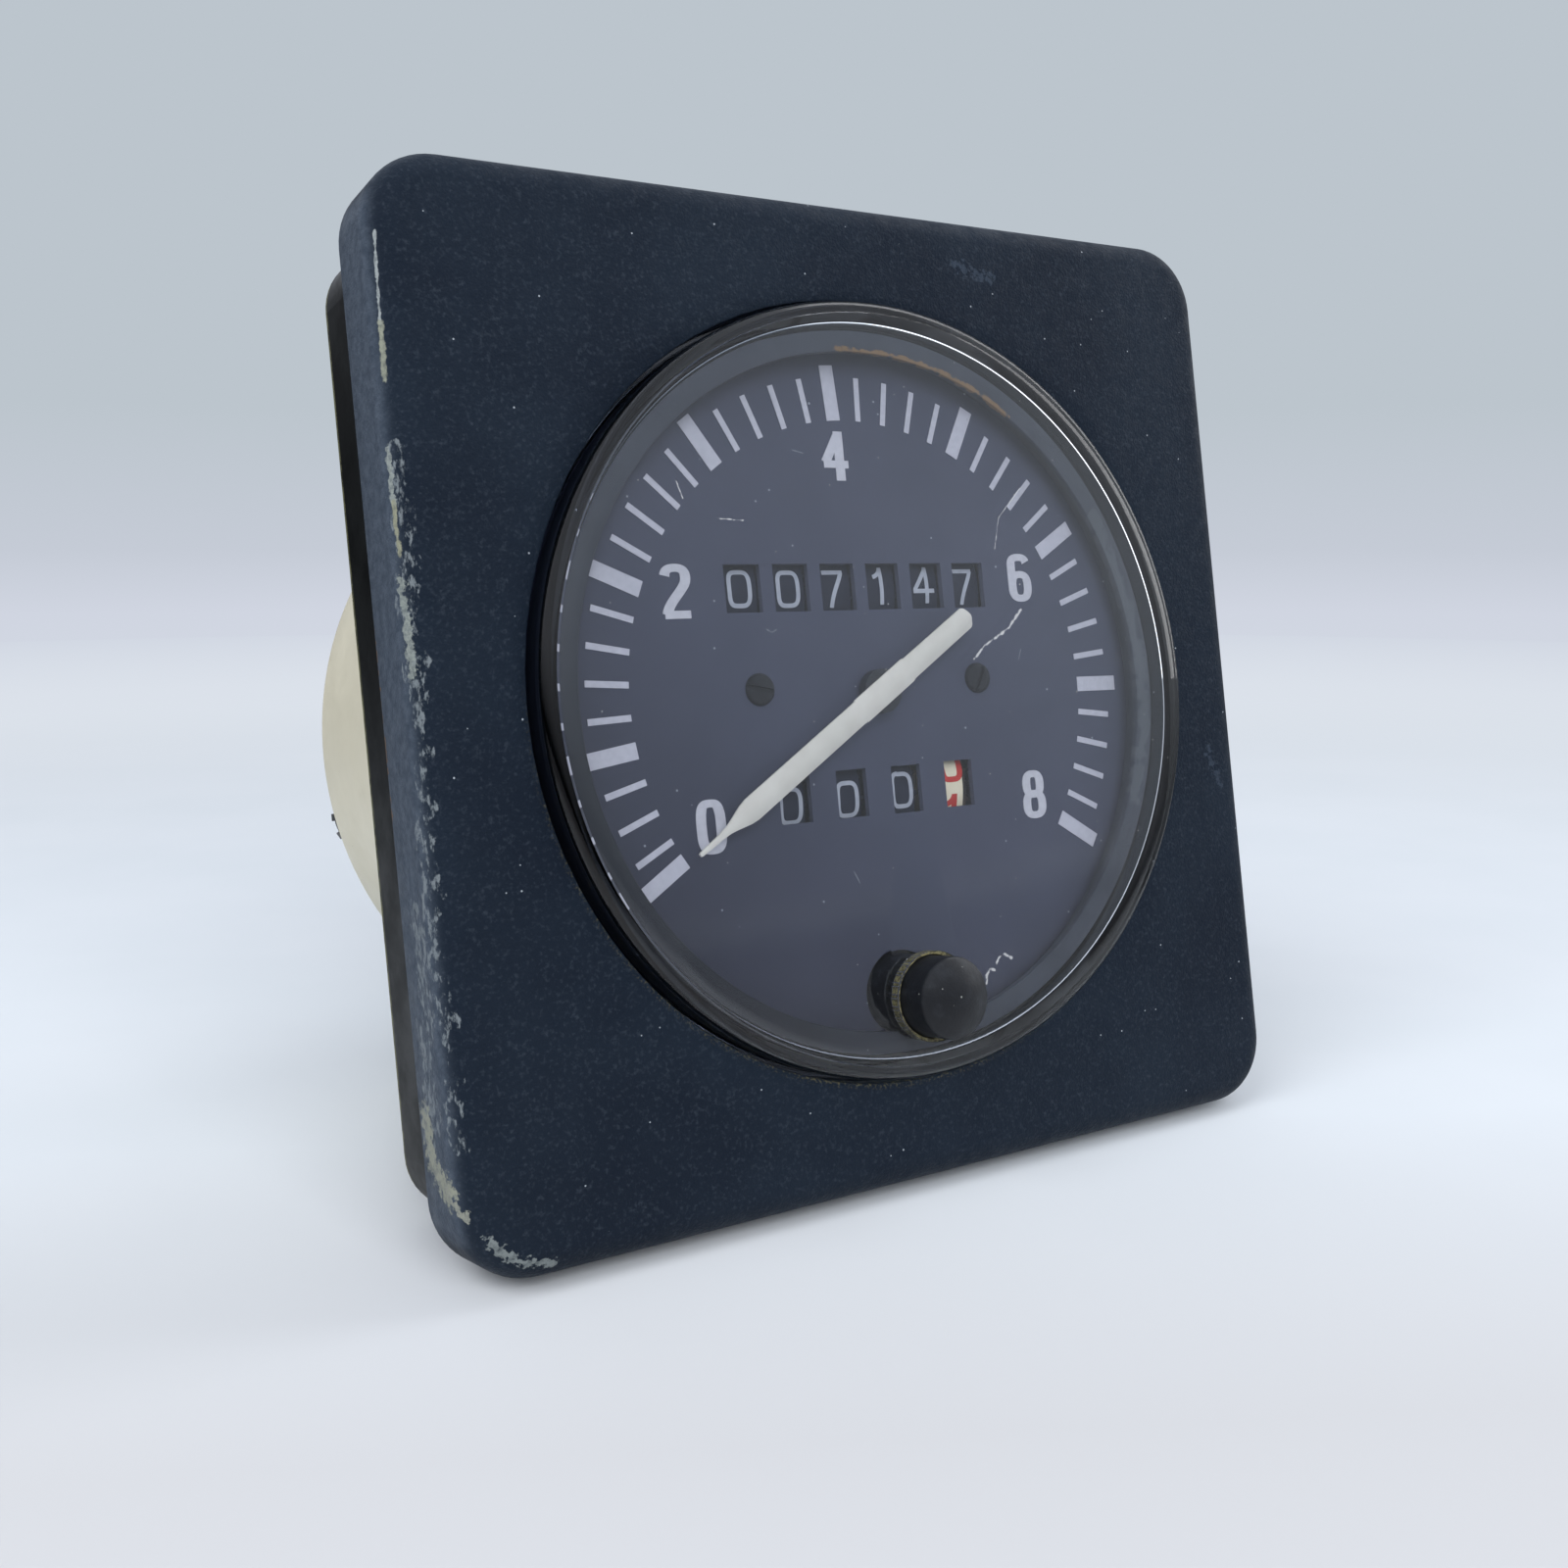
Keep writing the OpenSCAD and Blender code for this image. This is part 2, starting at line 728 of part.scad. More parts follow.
// Pillars from the counter frame's back plate to the dial, between the two counters
module dial_pillars() {
    pillar_r = 1.6;
    color("#b9b9b4")
        for (sx = [-1, 1])
            difference() {
                bar_y(pillar_r, dial_rear_y, plate_y, sx * dial_screw_x, dial_screw_z);
                bar_y(
                    1 + running_gap, dial_rear_y - 1, dial_rear_y + 4.5,
                    sx * dial_screw_x, dial_screw_z
                );
            }
}

// Outline of the pointer, tip up: a round tail, a blade and a narrow needle
module pointer_shape() {
    half = pointer_w / 2;
    union() {
        translate([0, half - pointer_tail])
            circle(r = half);
        translate([0, 0])
            polygon([
                [-half, half - pointer_tail], [half, half - pointer_tail],
                [half, pointer_tip - 8], [0.9, pointer_tip - 6], [0.45, pointer_tip - 4.4],
                [0.25, pointer_tip], [-0.25, pointer_tip], [-0.45, pointer_tip - 4.4],
                [-0.9, pointer_tip - 6], [-half, pointer_tip - 8]
            ]);
        square([pointer_w + 0.6, 8], center = true);
    }
}

// Cream pointer with a ridge along its middle, at rest on the zero mark
module pointer() {
    under_y = dial_y - pointer_lift;
    color("#e0dfd0")
        rotate([0, -zero_angle, 0])
            difference() {
                intersection() {
                    facing(under_y, pointer_h)
                        pointer_shape();
                    translate([0, under_y, -pointer_tail - 1])
                        linear_extrude(pointer_tail + pointer_tip + 2)
                            polygon([
                                [-pointer_w, 0], [pointer_w, 0], [pointer_w, -0.1],
                                [0.2, -pointer_h], [-0.2, -pointer_h], [-pointer_w, -0.1]
                            ]);
                }
                bar_y(spindle_r, under_y - pointer_h / 2, under_y + 1);
            }
}

// Dark bush under the pointer, which grips the spindle
module pointer_hub() {
    under_y = dial_y - pointer_lift;
    color("#2c2f37")
        difference() {
            union() {
                bar_y(2.5, under_y, dial_y - 0.7);
                bar_y(spindle_r + 0.6, dial_y - 0.8, dial_rear_y + 1);
            }
            bar_y(spindle_r, under_y - 1, dial_rear_y + 2);
        }
}

// Steel spindle from the pointer to the rear bearing
module pointer_spindle() {
    color("#b9bcc0")
        bar_y(spindle_r, dial_y - pointer_lift - pointer_h / 2, bobbin_y + bobbin_length - 0.4);
}

// Magnet disc on the spindle, turned by the field of the two crossed coils
module magnet_rotor() {
    color("#55585c")
        difference() {
            bar_y(rotor_r, chamber_y + 1.2, chamber_y + chamber_length - 1.2);
            bar_y(spindle_r, chamber_y, chamber_y + chamber_length);
        }
}

// Brass bushes at the front and the rear of the bobbin
module spindle_bearings() {
    bush_r = 1.5;
    front_span = [plate_rear_y + 0.4, plate_rear_y + 3];
    rear_span = [chamber_y + chamber_length + 0.4, bobbin_y + bobbin_length];
    color("#b08d3c")
        for (y = [front_span, rear_span])
            difference() {
                bar_y(bush_r, y[0], y[1]);
                bar_y(spindle_r + running_gap, y[0] - 1, y[1] + 1);
            }
}

// Half of the moulded bobbin, from from_y to to_y, with the rotor's chamber inside
module bobbin_half_shell(from_y, to_y) {
    color("#e3e0d4")
        difference() {
            intersection() {
                bar_y(bobbin_half * 1.2, from_y, to_y);
                translate([-bobbin_half, from_y - 1, -bobbin_half])
                    cube([2 * bobbin_half, to_y - from_y + 2, 2 * bobbin_half]);
            }
            bar_y(rotor_r + 0.6, chamber_y, chamber_y + chamber_length);
            bar_y(1.5, plate_rear_y - 1, bobbin_y + bobbin_length + 1);
        }
}

// Front half of the bobbin, with the tube of the front bearing
module bobbin_front() {
    bobbin_half_shell(bobbin_y, chamber_y + chamber_length / 2);
    color("#e3e0d4")
        difference() {
            bar_y(2.1, plate_y, bobbin_y + 0.2);
            bar_y(1.5, plate_y - 1, bobbin_y + 1);
        }
}

// Rear half of the bobbin
module bobbin_rear() {
    bobbin_half_shell(chamber_y + chamber_length / 2, bobbin_y + bobbin_length);
}

// A coil in two halves, wound round the bobbin on both sides of the spindle
module coil_halves(half, front_y, rear_y) {
    for (side = [-1, 1])
        translate([side * (coil_gap + coil_w / 2) - coil_w / 2, 0, 0])
            difference() {
                translate([0, front_y - coil_t, -half - coil_t])
                    cube([coil_w, rear_y - front_y + 2 * coil_t, 2 * (half + coil_t)]);
                translate([-1, front_y, -half])
                    cube([coil_w + 2, rear_y - front_y, 2 * half]);
            }
}

module inner_coil() {
    color("#a8622f")
        coil_halves(bobbin_half, bobbin_y, bobbin_y + bobbin_length);
}

module outer_coil() {
    color("#b5703a")
        rotate([0, 90, 0])
            coil_halves(bobbin_half, bobbin_y - coil_t, bobbin_y + bobbin_length + coil_t);
}

// Steel can round the movement, which keeps the boat's other magnets away
module shield_can() {
    color("#9a9da0")
        difference() {
            bar_y(can_r, plate_rear_y, plate_rear_y + can_length);
            bar_y(can_r - 0.8, plate_rear_y - 1, plate_rear_y + can_length - 0.8);
        }
}

// Sheet steel frame: two side plates, a back plate and the guide of the reset rod
module counter_frame() {
    top_z = total_z + 11;
    bottom_z = -trip_z - 13;
    side_front_y = dial_rear_y + 0.4;
    foot_z = lever_at[1] - 3.5;
    color("#a9aba8")
        difference() {
            union() {
                for (side_x = [-frame_half_w - sheet_t, frame_half_w])
                    along_x(side_x)
                        linear_extrude(sheet_t)
                            polygon([
                                [side_front_y, total_z - 4], [side_front_y + 4, top_z],
                                [plate_rear_y, top_z], [plate_rear_y, foot_z],
                                [guide_y, foot_z], [guide_y, bottom_z],
                                [side_front_y + 3, bottom_z], [side_front_y, -trip_z - 4]
                            ]);
                facing(plate_rear_y, sheet_t)
                    translate([-frame_half_w - eps, bottom_z])
                        square([2 * frame_half_w + 2 * eps, top_z - bottom_z]);
                facing(guide_y + sheet_t, sheet_t)
                    union() {
                        translate([-frame_half_w - eps, foot_z])
                            square([2 * frame_half_w + 2 * eps, bottom_z - foot_z]);
                        translate([-6, -knob_z - 4.3])
                            square([12, foot_z + knob_z + 4.3 + eps]);
                    }
            }
            bar_y(2.2, plate_y - 1, plate_rear_y + 1);
            bar_y(rod_r + running_gap, guide_y - 1, guide_y + sheet_t + 1, 0, -knob_z);
            bar_x(pinion_shaft_r, -plate_out_x - 1, 0, total_pinion_at);
            bar_x(1.6 + running_gap, 0, plate_out_x + 1, total_pinion_at);
            bar_x(1 + 2 * running_gap, 0, plate_out_x + 1, drive_at);
            for (at = [total_at, trip_at])
                bar_x(drum_shaft_r, -plate_out_x - 1, plate_out_x + 1, at);
            bar_x(pinion_shaft_r, -plate_out_x - 1, plate_out_x + 1, trip_pinion_at);
            bar_x(drum_shaft_r, -plate_out_x - 1, plate_out_x + 1, lever_at);
            for (sx = [-1, 1], sz = [-1, 1])
                bar_y(1.2, plate_y - 1, plate_rear_y + 1, sx * post_x, sz * post_z);
        }
}

// Fixed steel shafts of the two rows of drums
module counter_shafts() {
    color("#c3c6c8")
        for (at = [total_at, trip_at])
            bar_x(drum_shaft_r, -plate_out_x - 0.6, plate_out_x + 0.3, at);
}

// Fixed steel shafts of the transfer pinions; the upper one also carries the drive gear
module pinion_shafts() {
    color("#c3c6c8")
        bar_x(pinion_shaft_r, -plate_out_x - 0.6, gear_plate_x + sheet_t, total_pinion_at);
    color("#c3c6c8")
        bar_x(pinion_shaft_r, -plate_out_x - 0.6, plate_out_x + 0.3, trip_pinion_at);
}

module total_drum_units() {
    total_drum(0);
}

module total_drum_tens() {
    total_drum(1);
}

module total_drum_hundreds() {
    total_drum(2);
}

module total_drum_thousands() {
    total_drum(3);
}

module total_drum_ten_thousands() {
    total_drum(4);
}

module total_drum_hundred_thousands() {
    total_drum(5);
}

module total_pinion_1() {
    total_pinion(1);
}

module total_pinion_2() {
    total_pinion(2);
}

module total_pinion_3() {
    total_pinion(3);
}

module total_pinion_4() {
    total_pinion(4);
}

module total_pinion_5() {
    total_pinion(5);
}

// Cream drum of the tenths: half a digit past zero, with the fine ring of the drive
module trip_drum_tenths() {
    color("#e6ddc2")
        trip_drum(0, drive_ring_teeth, drive_module, drive_angle, -18);
}

module trip_drum_units() {
    color("#1d1f24")
        trip_drum(1, ring_teeth, ring_module, trip_pinion_angle, 0);
}

module trip_drum_tens() {
    color("#1d1f24")
        trip_drum(2, ring_teeth, ring_module, trip_pinion_angle, 0);
}

module trip_drum_hundreds() {
    color("#1d1f24")
        trip_drum(3, ring_teeth, ring_module, trip_pinion_angle, 0);
}

module trip_pinion_1() {
    trip_pinion(1);
}

module trip_pinion_2() {
    trip_pinion(2);
}

module trip_pinion_3() {
    trip_pinion(3);
}

// Motor shaft with the pinion of the tenths drum and the pinion of the idler
module drive_pinion() {
    inner_x = trip_x(0) + trip_rim_w / 2;
    color("#b99a4a")
        union() {
            bar_x(1, inner_x, motor_x + 6, drive_at);
            along_x(inner_x + 0.1, drive_at)
                gear(
                    drive_pinion_teeth, drive_module, trip_ring_w - 0.2,
                    drive_angle + 180 + 180 / drive_pinion_teeth
                );
            along_x(gear_a_x, drive_at)
                gear(
                    drive_pinion_teeth, drive_module, drive_gear_w,
                    direction(drive_at, idler_at)
                );
        }
}

// Idler: a large gear from the motor and a small one to the total counter's gear
module idler_gear() {
    color("#d8d4c4")
        difference() {
            union() {
                along_x(gear_a_x, idler_at)
                    gear(
                        idler_teeth, drive_module, drive_gear_w,
                        direction(idler_at, drive_at) + 180 / idler_teeth
                    );
                along_x(gear_a_x + drive_gear_w - eps, idler_at)
                    gear(
                        idler_pinion_teeth, drive_module, gear_b_x - gear_a_x + eps,
                        direction(idler_at, total_pinion_at)
                    );
            }
            bar_x(0.8 + running_gap, plate_out_x, gear_plate_x, idler_at);
        }
}

// Gear and sleeve that turn the total counter, running on the upper pinion shaft
module total_drive_gear() {
    inner_x = total_x(0) + total_rim_w / 2;
    color("#d8d4c4")
        difference() {
            union() {
                along_x(gear_b_x, total_pinion_at)
                    gear(
                        total_drive_teeth, drive_module, drive_gear_w,
                        direction(total_pinion_at, idler_at) + 180 / total_drive_teeth
                    );
                bar_x(1.6, inner_x + 0.1, gear_b_x + eps, total_pinion_at);
                along_x(inner_x + 0.1, total_pinion_at)
                    gear(
                        pinion_teeth, ring_module, total_ring_w - 0.1,
                        total_pinion_angle + 180 + 180 / pinion_teeth
                    );
            }
            bar_x(pinion_shaft_r + running_gap, inner_x - 1, gear_plate_x, total_pinion_at);
        }
}

// Plate outside the drive gears, with its posts and the idler's pin
module gear_plate() {
    post_places = [[-8, -14], [0, 19], [-14, 2]];
    color("#a9aba8")
        difference() {
            union() {
                along_x(gear_plate_x)
                    linear_extrude(sheet_t)
                        hull()
                            for (at = concat(post_places, [drive_at, idler_at]))
                                translate(at)
                                    circle(r = 3, $fn = 32);
                for (at = post_places)
                    bar_x(1.5, plate_out_x, gear_plate_x + eps, at);
                bar_x(0.8, plate_out_x, gear_plate_x + eps, idler_at);
            }
            bar_x(pinion_shaft_r, gear_plate_x - 1, motor_x + 1, total_pinion_at);
            bar_x(1 + 2 * running_gap, gear_plate_x - 1, motor_x + 1, drive_at);
        }
}

// Small stepping motor that drives both counters
module counter_motor() {
    color("#8f9295")
        difference() {
            union() {
                bar_x(motor_r, motor_x, motor_x + motor_length, drive_at);
                bar_x(2.2, motor_x + motor_length - eps, motor_x + motor_length + 0.8, drive_at);
            }
            bar_x(1 + running_gap, motor_x - 1, motor_x + 6.3, drive_at);
        }
}

// Black reset knob with a domed end, through the lens and the dial
module reset_knob() {
    rim_y = lens_front_y - knob_out;
    rear_y = dial_rear_y + 2.2;
    dome_r = (knob_r ^ 2 + knob_dome_h ^ 2) / (2 * knob_dome_h);
    color("#101216")
        difference() {
            union() {
                bar_y(knob_r, rim_y, rear_y, 0, -knob_z);
                intersection() {
                    translate([0, rim_y - knob_dome_h + dome_r, -knob_z])
                        sphere(r = dome_r);
                    bar_y(knob_r, rim_y - knob_dome_h - 1, rim_y + 0.5, 0, -knob_z);
                }
            }
            bar_y(rod_r, rod_front_y, rear_y + 1, 0, -knob_z);
        }
}

// Ring between the knob and the lens
module knob_seal() {
    color("#8a7b3e")
        difference() {
            bar_y(knob_r + 0.5, lens_front_y + 0.3, lens_inner_y, 0, -knob_z);
            bar_y(knob_r + 0.1, lens_front_y - 1, lens_inner_y + 1, 0, -knob_z);
        }
}

// Push rod in the knob, with a collar behind its guide and a narrow nose
module reset_rod() {
    collar_y = guide_y + sheet_t + 0.1;
    color("#b9bcc0")
        union() {
            bar_y(rod_r, rod_front_y, rod_rear_y - 2, 0, -knob_z);
            bar_y(rod_r + 1.2, collar_y, collar_y + 0.8, 0, -knob_z);
            bar_y(0.8, rod_rear_y - 2 - eps, rod_rear_y, 0, -knob_z);
        }
}

// Return spring round the rod, between the guide and the knob, as one wound wire
module reset_spring() {
    wire_r = 0.3;
    coil_r = rod_r + 0.9;
    turns = 5;
    sides = 6;
    per_turn = 16;
    front_y = dial_rear_y + 2.2 + wire_r;
    rear_y = guide_y - wire_r;
    rings = turns * per_turn;
    points = [
        for (i = [0 : rings], j = [0 : sides - 1])
            let (
                a = 360 * i / per_turn,
                b = 360 * j / sides,
                r = coil_r + wire_r * cos(b)
            )
                [
                    r * cos(a),
                    front_y + (rear_y - front_y) * i / rings + wire_r * sin(b),
                    r * sin(a) - knob_z
                ]
    ];
    walls = [
        for (i = [0 : rings - 1], j = [0 : sides - 1])
            let (
                a = i * sides + j,
                b = i * sides + (j + 1) % sides,
                c = a + sides,
                d = b + sides
            )
                each [[a, c, b], [b, c, d]]
    ];
    first_cap = [for (j = [1 : sides - 2]) [0, j, j + 1]];
    last = rings * sides;
    last_cap = [for (j = [1 : sides - 2]) [last, last + j + 1, last + j]];
    color("#c3c6c8")
        polyhedron(points, concat(walls, first_cap, last_cap));
}

// Lever on its own shaft: the rod pushes its lower arm, and four hammers swing forward
module reset_lever() {
    hammer_t = 0.8;
    hammer_x = -trip_rim_w / 2 - heart_t + 0.05;
    arm_front_y = rod_rear_y + lever_gap;
    sleeve_r = 2.1;
    first_x = trip_x(trip_count - 1) - trip_rim_w / 2 - heart_t;
    last_x = trip_x(0) - trip_rim_w / 2;
    tip_z = -trip_z + 0.7;
    color("#b9a25a")
        difference() {
            union() {
                bar_x(sleeve_r, first_x - 0.4, last_x + 0.4, lever_at);
                for (place = [0 : trip_count - 1])
                    along_x(trip_x(place) + hammer_x)
                        linear_extrude(hammer_t)
                            polygon([
                                lever_at + [-1.5, 0], lever_at + [1.8, 0],
                                [lever_at[0] + 2.2, tip_z], [lever_at[0] + 0.3, tip_z],
                                [lever_at[0] + 0.3, tip_z - 3.5]
                            ]);
                along_x(-2.5)
                    linear_extrude(5)
                        polygon([
                            [arm_front_y, -knob_z - 2.2], [arm_front_y + 1.3, -knob_z - 2.2],
                            lever_at + [1, -1.7], lever_at + [-1.6, -1]
                        ]);
            }
            bar_x(drum_shaft_r + running_gap, first_x - 1, last_x + 1, lever_at);
        }
}

// Fixed shaft of the reset lever
module lever_shaft() {
    color("#c3c6c8")
        bar_x(drum_shaft_r, -plate_out_x - 0.6, plate_out_x + 0.3, lever_at);
}

// Round circuit board, notched for the lamp holders
module circuit_board() {
    color("#4c6a3c")
        facing(board_rear_y, board_t)
            difference() {
                circle(r = board_r);
                for (sx = [-1, 1])
                    translate([sx * lamp_x, -lamp_z])
                        circle(r = 5.4);
                for (sx = [-1, 1], sz = [-1, 1])
                    translate([sx * post_x, sz * post_z])
                        circle(r = 1.5);
                for (i = [-2 : 2])
                    translate([i * blade_pitch, 0])
                        square([blade_w - 1.8, 1], center = true);
            }
}

// Two integrated circuits, two capacitors and two trimmers on the board's rear face
module board_parts() {
    chip = [19, 6.4];
    color("#222326")
        for (sz = [-1, 1])
            facing(board_rear_y + 3.6, 3.6)
                translate([0, sz * 12])
                    square(chip, center = true);
    color("#3a4a7a")
        for (sx = [-1, 1])
            bar_y(3.2, board_rear_y, board_rear_y + 8, sx * 27, 11);
    color("#2f6fa8")
        for (sx = [-1, 1])
            facing(board_rear_y + 4.5, 4.5)
                translate([sx * 11, 27])
                    square(7, center = true);
}

// Posts from the counter frame to the circuit board
module board_posts() {
    color("#b9b9b4")
        for (sx = [-1, 1], sz = [-1, 1])
            difference() {
                bar_y(post_r, plate_rear_y, board_y, sx * post_x, sz * post_z);
                bar_y(1.2 + running_gap, board_y - 7, board_y + 1, sx * post_x, sz * post_z);
            }
}

// Four screws from the rear through the bosses and the board into the posts
module rear_screws() {
    head_r = 2.6;
    head_t = 1.7;
    color("#8d8f90")
        for (sx = [-1, 1], sz = [-1, 1])
            translate([sx * post_x, 0, sz * post_z])
                difference() {
                    union() {
                        bar_y(head_r, housing_back, housing_back + head_t);
                        bar_y(1.2, board_y - 6, housing_back + eps);
                    }
                    rotate([0, 35, 0])
                        translate([-head_r - 1, housing_back + head_t - 0.8, -0.35])
                            cube([2 * head_r + 2, 2, 0.7]);
                }
}

// Two push-in lamp holders with ribbed grips behind the housing
module lamp_holders() {
    grip_ribs = 12;
    color("#16181b")
        for (sx = [-1, 1])
            translate([sx * lamp_x, 0, -lamp_z])
                difference() {
                    union() {
                        bar_y(lamp_grip_r, housing_back, housing_back + 1.6);
                        facing(housing_back + lamp_grip_length, lamp_grip_length - 1)
                            union() {
                                circle(r = lamp_grip_r - 0.6);
                                for (i = [0 : grip_ribs - 1])
                                    rotate(360 * i / grip_ribs)
                                        translate([lamp_grip_r - 1.2, -0.5])
                                            square([1, 1]);
                            }
                        bar_y(4.4, board_rear_y + 2, housing_back + eps);
                    }
                    bar_y(2.6, board_rear_y + 1, housing_floor_y);
                }
}

// Glass lamps in their holders, which light the dial's rim
module bulbs() {
    bulb_r = 2.5;
    color([0.95, 0.93, 0.85, 0.4])
        for (sx = [-1, 1])
            translate([sx * lamp_x, 0, -lamp_z])
                union() {
                    bar_y(bulb_r, board_y, housing_floor_y - 0.1);
                    translate([0, board_y, 0])
                        sphere(r = bulb_r);
                }
}

// Black block that holds the blade terminals against the housing
module terminal_block() {
    block = [4 * blade_pitch + blade_w + 3, 9];
    block_t = 2.6;
    color("#17191c")
        facing(housing_back + block_t, block_t)
            difference() {
                square(block, center = true);
                for (i = [-2 : 2])
                    translate([i * blade_pitch, 0])
                        square([blade_w, 0.8], center = true);
            }
}

// Five tinned blades from the board to behind the block, each with its hole
module blade_terminals() {
    blade_t = 0.8;
    end_y = housing_back + 2.6 + blade_length;
    foot_w = blade_w - 2;
    color("#c9c9c4")
        for (i = [-2 : 2])
            translate([i * blade_pitch, 0, 0])
                difference() {
                    translate([0, 0, -blade_t / 2])
                        linear_extrude(blade_t)
                            polygon([
                                [-foot_w / 2, board_y - 1], [foot_w / 2, board_y - 1],
                                [foot_w / 2, board_rear_y], [blade_w / 2, board_rear_y + 0.05],
                                [blade_w / 2, end_y - 1.2], [blade_w / 2 - 1, end_y],
                                [1 - blade_w / 2, end_y], [-blade_w / 2, end_y - 1.2],
                                [-blade_w / 2, board_rear_y + 0.05], [-foot_w / 2, board_rear_y]
                            ]);
                    translate([0, end_y - 3.4, -1])
                        cylinder(r = 0.8, h = 2);
                }
}

// Two studs for the clamp that draws the instrument against the panel
module mounting_studs() {
    color("#b9a25a")
        for (sz = [-1, 1])
            translate([0, 0, sz * stud_spacing / 2])
                union() {
                    bar_y(stud_r, housing_back - 0.5, housing_back + stud_length);
                    bar_y(shank_r, housing_floor_y - 0.5, housing_back);
                    bar_y(stud_r + 2, housing_floor_y - 2, housing_floor_y);
                }
}

bezel();
mounting_frame();
housing();
lens();
lens_seal();
dial_trim_ring();
dial_plate();
dial_screws();
dial_pillars();
pointer();
pointer_hub();
pointer_spindle();
magnet_rotor();
spindle_bearings();
bobbin_front();
bobbin_rear();
inner_coil();
outer_coil();
shield_can();
counter_frame();
counter_shafts();
pinion_shafts();
total_drum_units();
total_drum_tens();
total_drum_hundreds();
total_drum_thousands();
total_drum_ten_thousands();
total_drum_hundred_thousands();
total_pinion_1();
total_pinion_2();
total_pinion_3();
total_pinion_4();
total_pinion_5();
trip_drum_tenths();
trip_drum_units();
trip_drum_tens();
trip_drum_hundreds();
trip_pinion_1();
trip_pinion_2();
trip_pinion_3();
drive_pinion();
idler_gear();
total_drive_gear();
gear_plate();
counter_motor();
reset_knob();
knob_seal();
reset_rod();
reset_spring();
reset_lever();
lever_shaft();
circuit_board();
board_parts();
board_posts();
rear_screws();
lamp_holders();
bulbs();
terminal_block();
blade_terminals();
mounting_studs();
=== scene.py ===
import math

import bmesh
import bpy
from mathutils import Matrix, Vector


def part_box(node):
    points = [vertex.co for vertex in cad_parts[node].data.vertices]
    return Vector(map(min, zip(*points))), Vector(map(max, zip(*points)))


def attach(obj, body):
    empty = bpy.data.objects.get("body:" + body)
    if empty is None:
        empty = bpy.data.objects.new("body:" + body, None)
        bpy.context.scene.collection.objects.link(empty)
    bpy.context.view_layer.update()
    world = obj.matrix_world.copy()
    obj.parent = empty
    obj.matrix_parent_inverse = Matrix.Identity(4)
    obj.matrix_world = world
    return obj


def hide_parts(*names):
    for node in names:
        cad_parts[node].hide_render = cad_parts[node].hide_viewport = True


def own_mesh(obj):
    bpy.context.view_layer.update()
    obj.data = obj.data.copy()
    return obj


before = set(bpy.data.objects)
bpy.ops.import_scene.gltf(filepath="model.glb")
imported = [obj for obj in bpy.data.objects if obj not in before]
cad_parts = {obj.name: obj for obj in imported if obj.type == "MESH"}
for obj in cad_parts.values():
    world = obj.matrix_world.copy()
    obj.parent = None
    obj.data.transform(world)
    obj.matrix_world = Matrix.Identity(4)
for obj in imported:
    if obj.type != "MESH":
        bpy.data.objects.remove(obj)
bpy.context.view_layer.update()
mm = 0.001

# Camera: a phone held low in front of the dial and to its left. Its place and turn were
# worked out from the straight edges of the cover and the marks of the scale.
camera_data = bpy.data.cameras.new("camera")
camera_data.lens = 37.23
camera_data.sensor_width = 36
camera_data.clip_start = 0.01
camera = bpy.data.objects.new("camera", camera_data)
camera_right = (0.8429, -0.52982, -0.09387)
camera_up = (0.07771, -0.05275, 0.99558)
camera_back = (-0.53243, -0.84647, -0.00329)
camera_place = (-0.10715, -0.17048, -0.00999)
camera.matrix_world = Matrix(
    [[camera_right[i], camera_up[i], camera_back[i], camera_place[i]] for i in range(3)]
    + [[0, 0, 0, 1]]
)
bpy.context.scene.collection.objects.link(camera)
bpy.context.scene.camera = camera
bpy.context.scene.view_settings.view_transform = "Standard"


def linear(code):
    """An sRGB hex colour as a linear one."""
    parts = [int(code[i : i + 2], 16) / 255 for i in (1, 3, 5)]
    return tuple(
        c / 12.92 if c <= 0.04045 else ((c + 0.055) / 1.055) ** 2.4 for c in parts
    ) + (1.0,)


def add(tree, kind, inputs=None, **settings):
    """Adds a node. Each input is a value, or the node or socket that feeds it."""
    new = tree.nodes.new(kind if "Node" in kind else "ShaderNode" + kind)
    for name, value in settings.items():
        setattr(new, name, value)
    for name, value in (inputs or {}).items():
        socket = new.inputs[name] if isinstance(name, int) else None
        socket = socket or next(s for s in new.inputs if s.name == name and s.enabled)
        if isinstance(value, bpy.types.Node):
            value = next(s for s in value.outputs if s.enabled)
        if isinstance(value, bpy.types.NodeSocket):
            tree.links.new(value, socket)
        else:
            socket.default_value = value
    return new


def start_finish(name):
    """Starts a material and gives its tree and the place on the piece in metres."""
    material = bpy.data.materials.new(name)
    material.use_nodes = True
    material.node_tree.nodes.clear()
    return material, material.node_tree, add(material.node_tree, "TexCoord").outputs["Object"]


def skin(tree, colour, roughness, height, depth_mm, **values):
    """Ends a material: a relief of so many millimetres, its shader and its output."""
    relief = add(tree, "Bump", {"Height": height, "Distance": depth_mm * mm})
    inputs = {"Base Color": colour, "Roughness": roughness, "Normal": relief}
    inputs.update({name.replace("_", " "): value for name, value in values.items()})
    add(tree, "OutputMaterial", {"Surface": add(tree, "BsdfPrincipled", inputs)})


def patches(tree, place, size_mm, low=0.3, high=0.7, detail=4, to=(0.0, 1.0)):
    """Soft patches about this many millimetres across, as a value between two numbers."""
    noise = add(
        tree, "TexNoise",
        {"Vector": place, "Scale": 1 / (size_mm * mm), "Detail": detail, "Roughness": 0.6},
    )
    return add(
        tree, "MapRange",
        {"Value": noise, "From Min": low, "From Max": high, "To Min": to[0], "To Max": to[1]},
        interpolation_type="SMOOTHSTEP",
    )


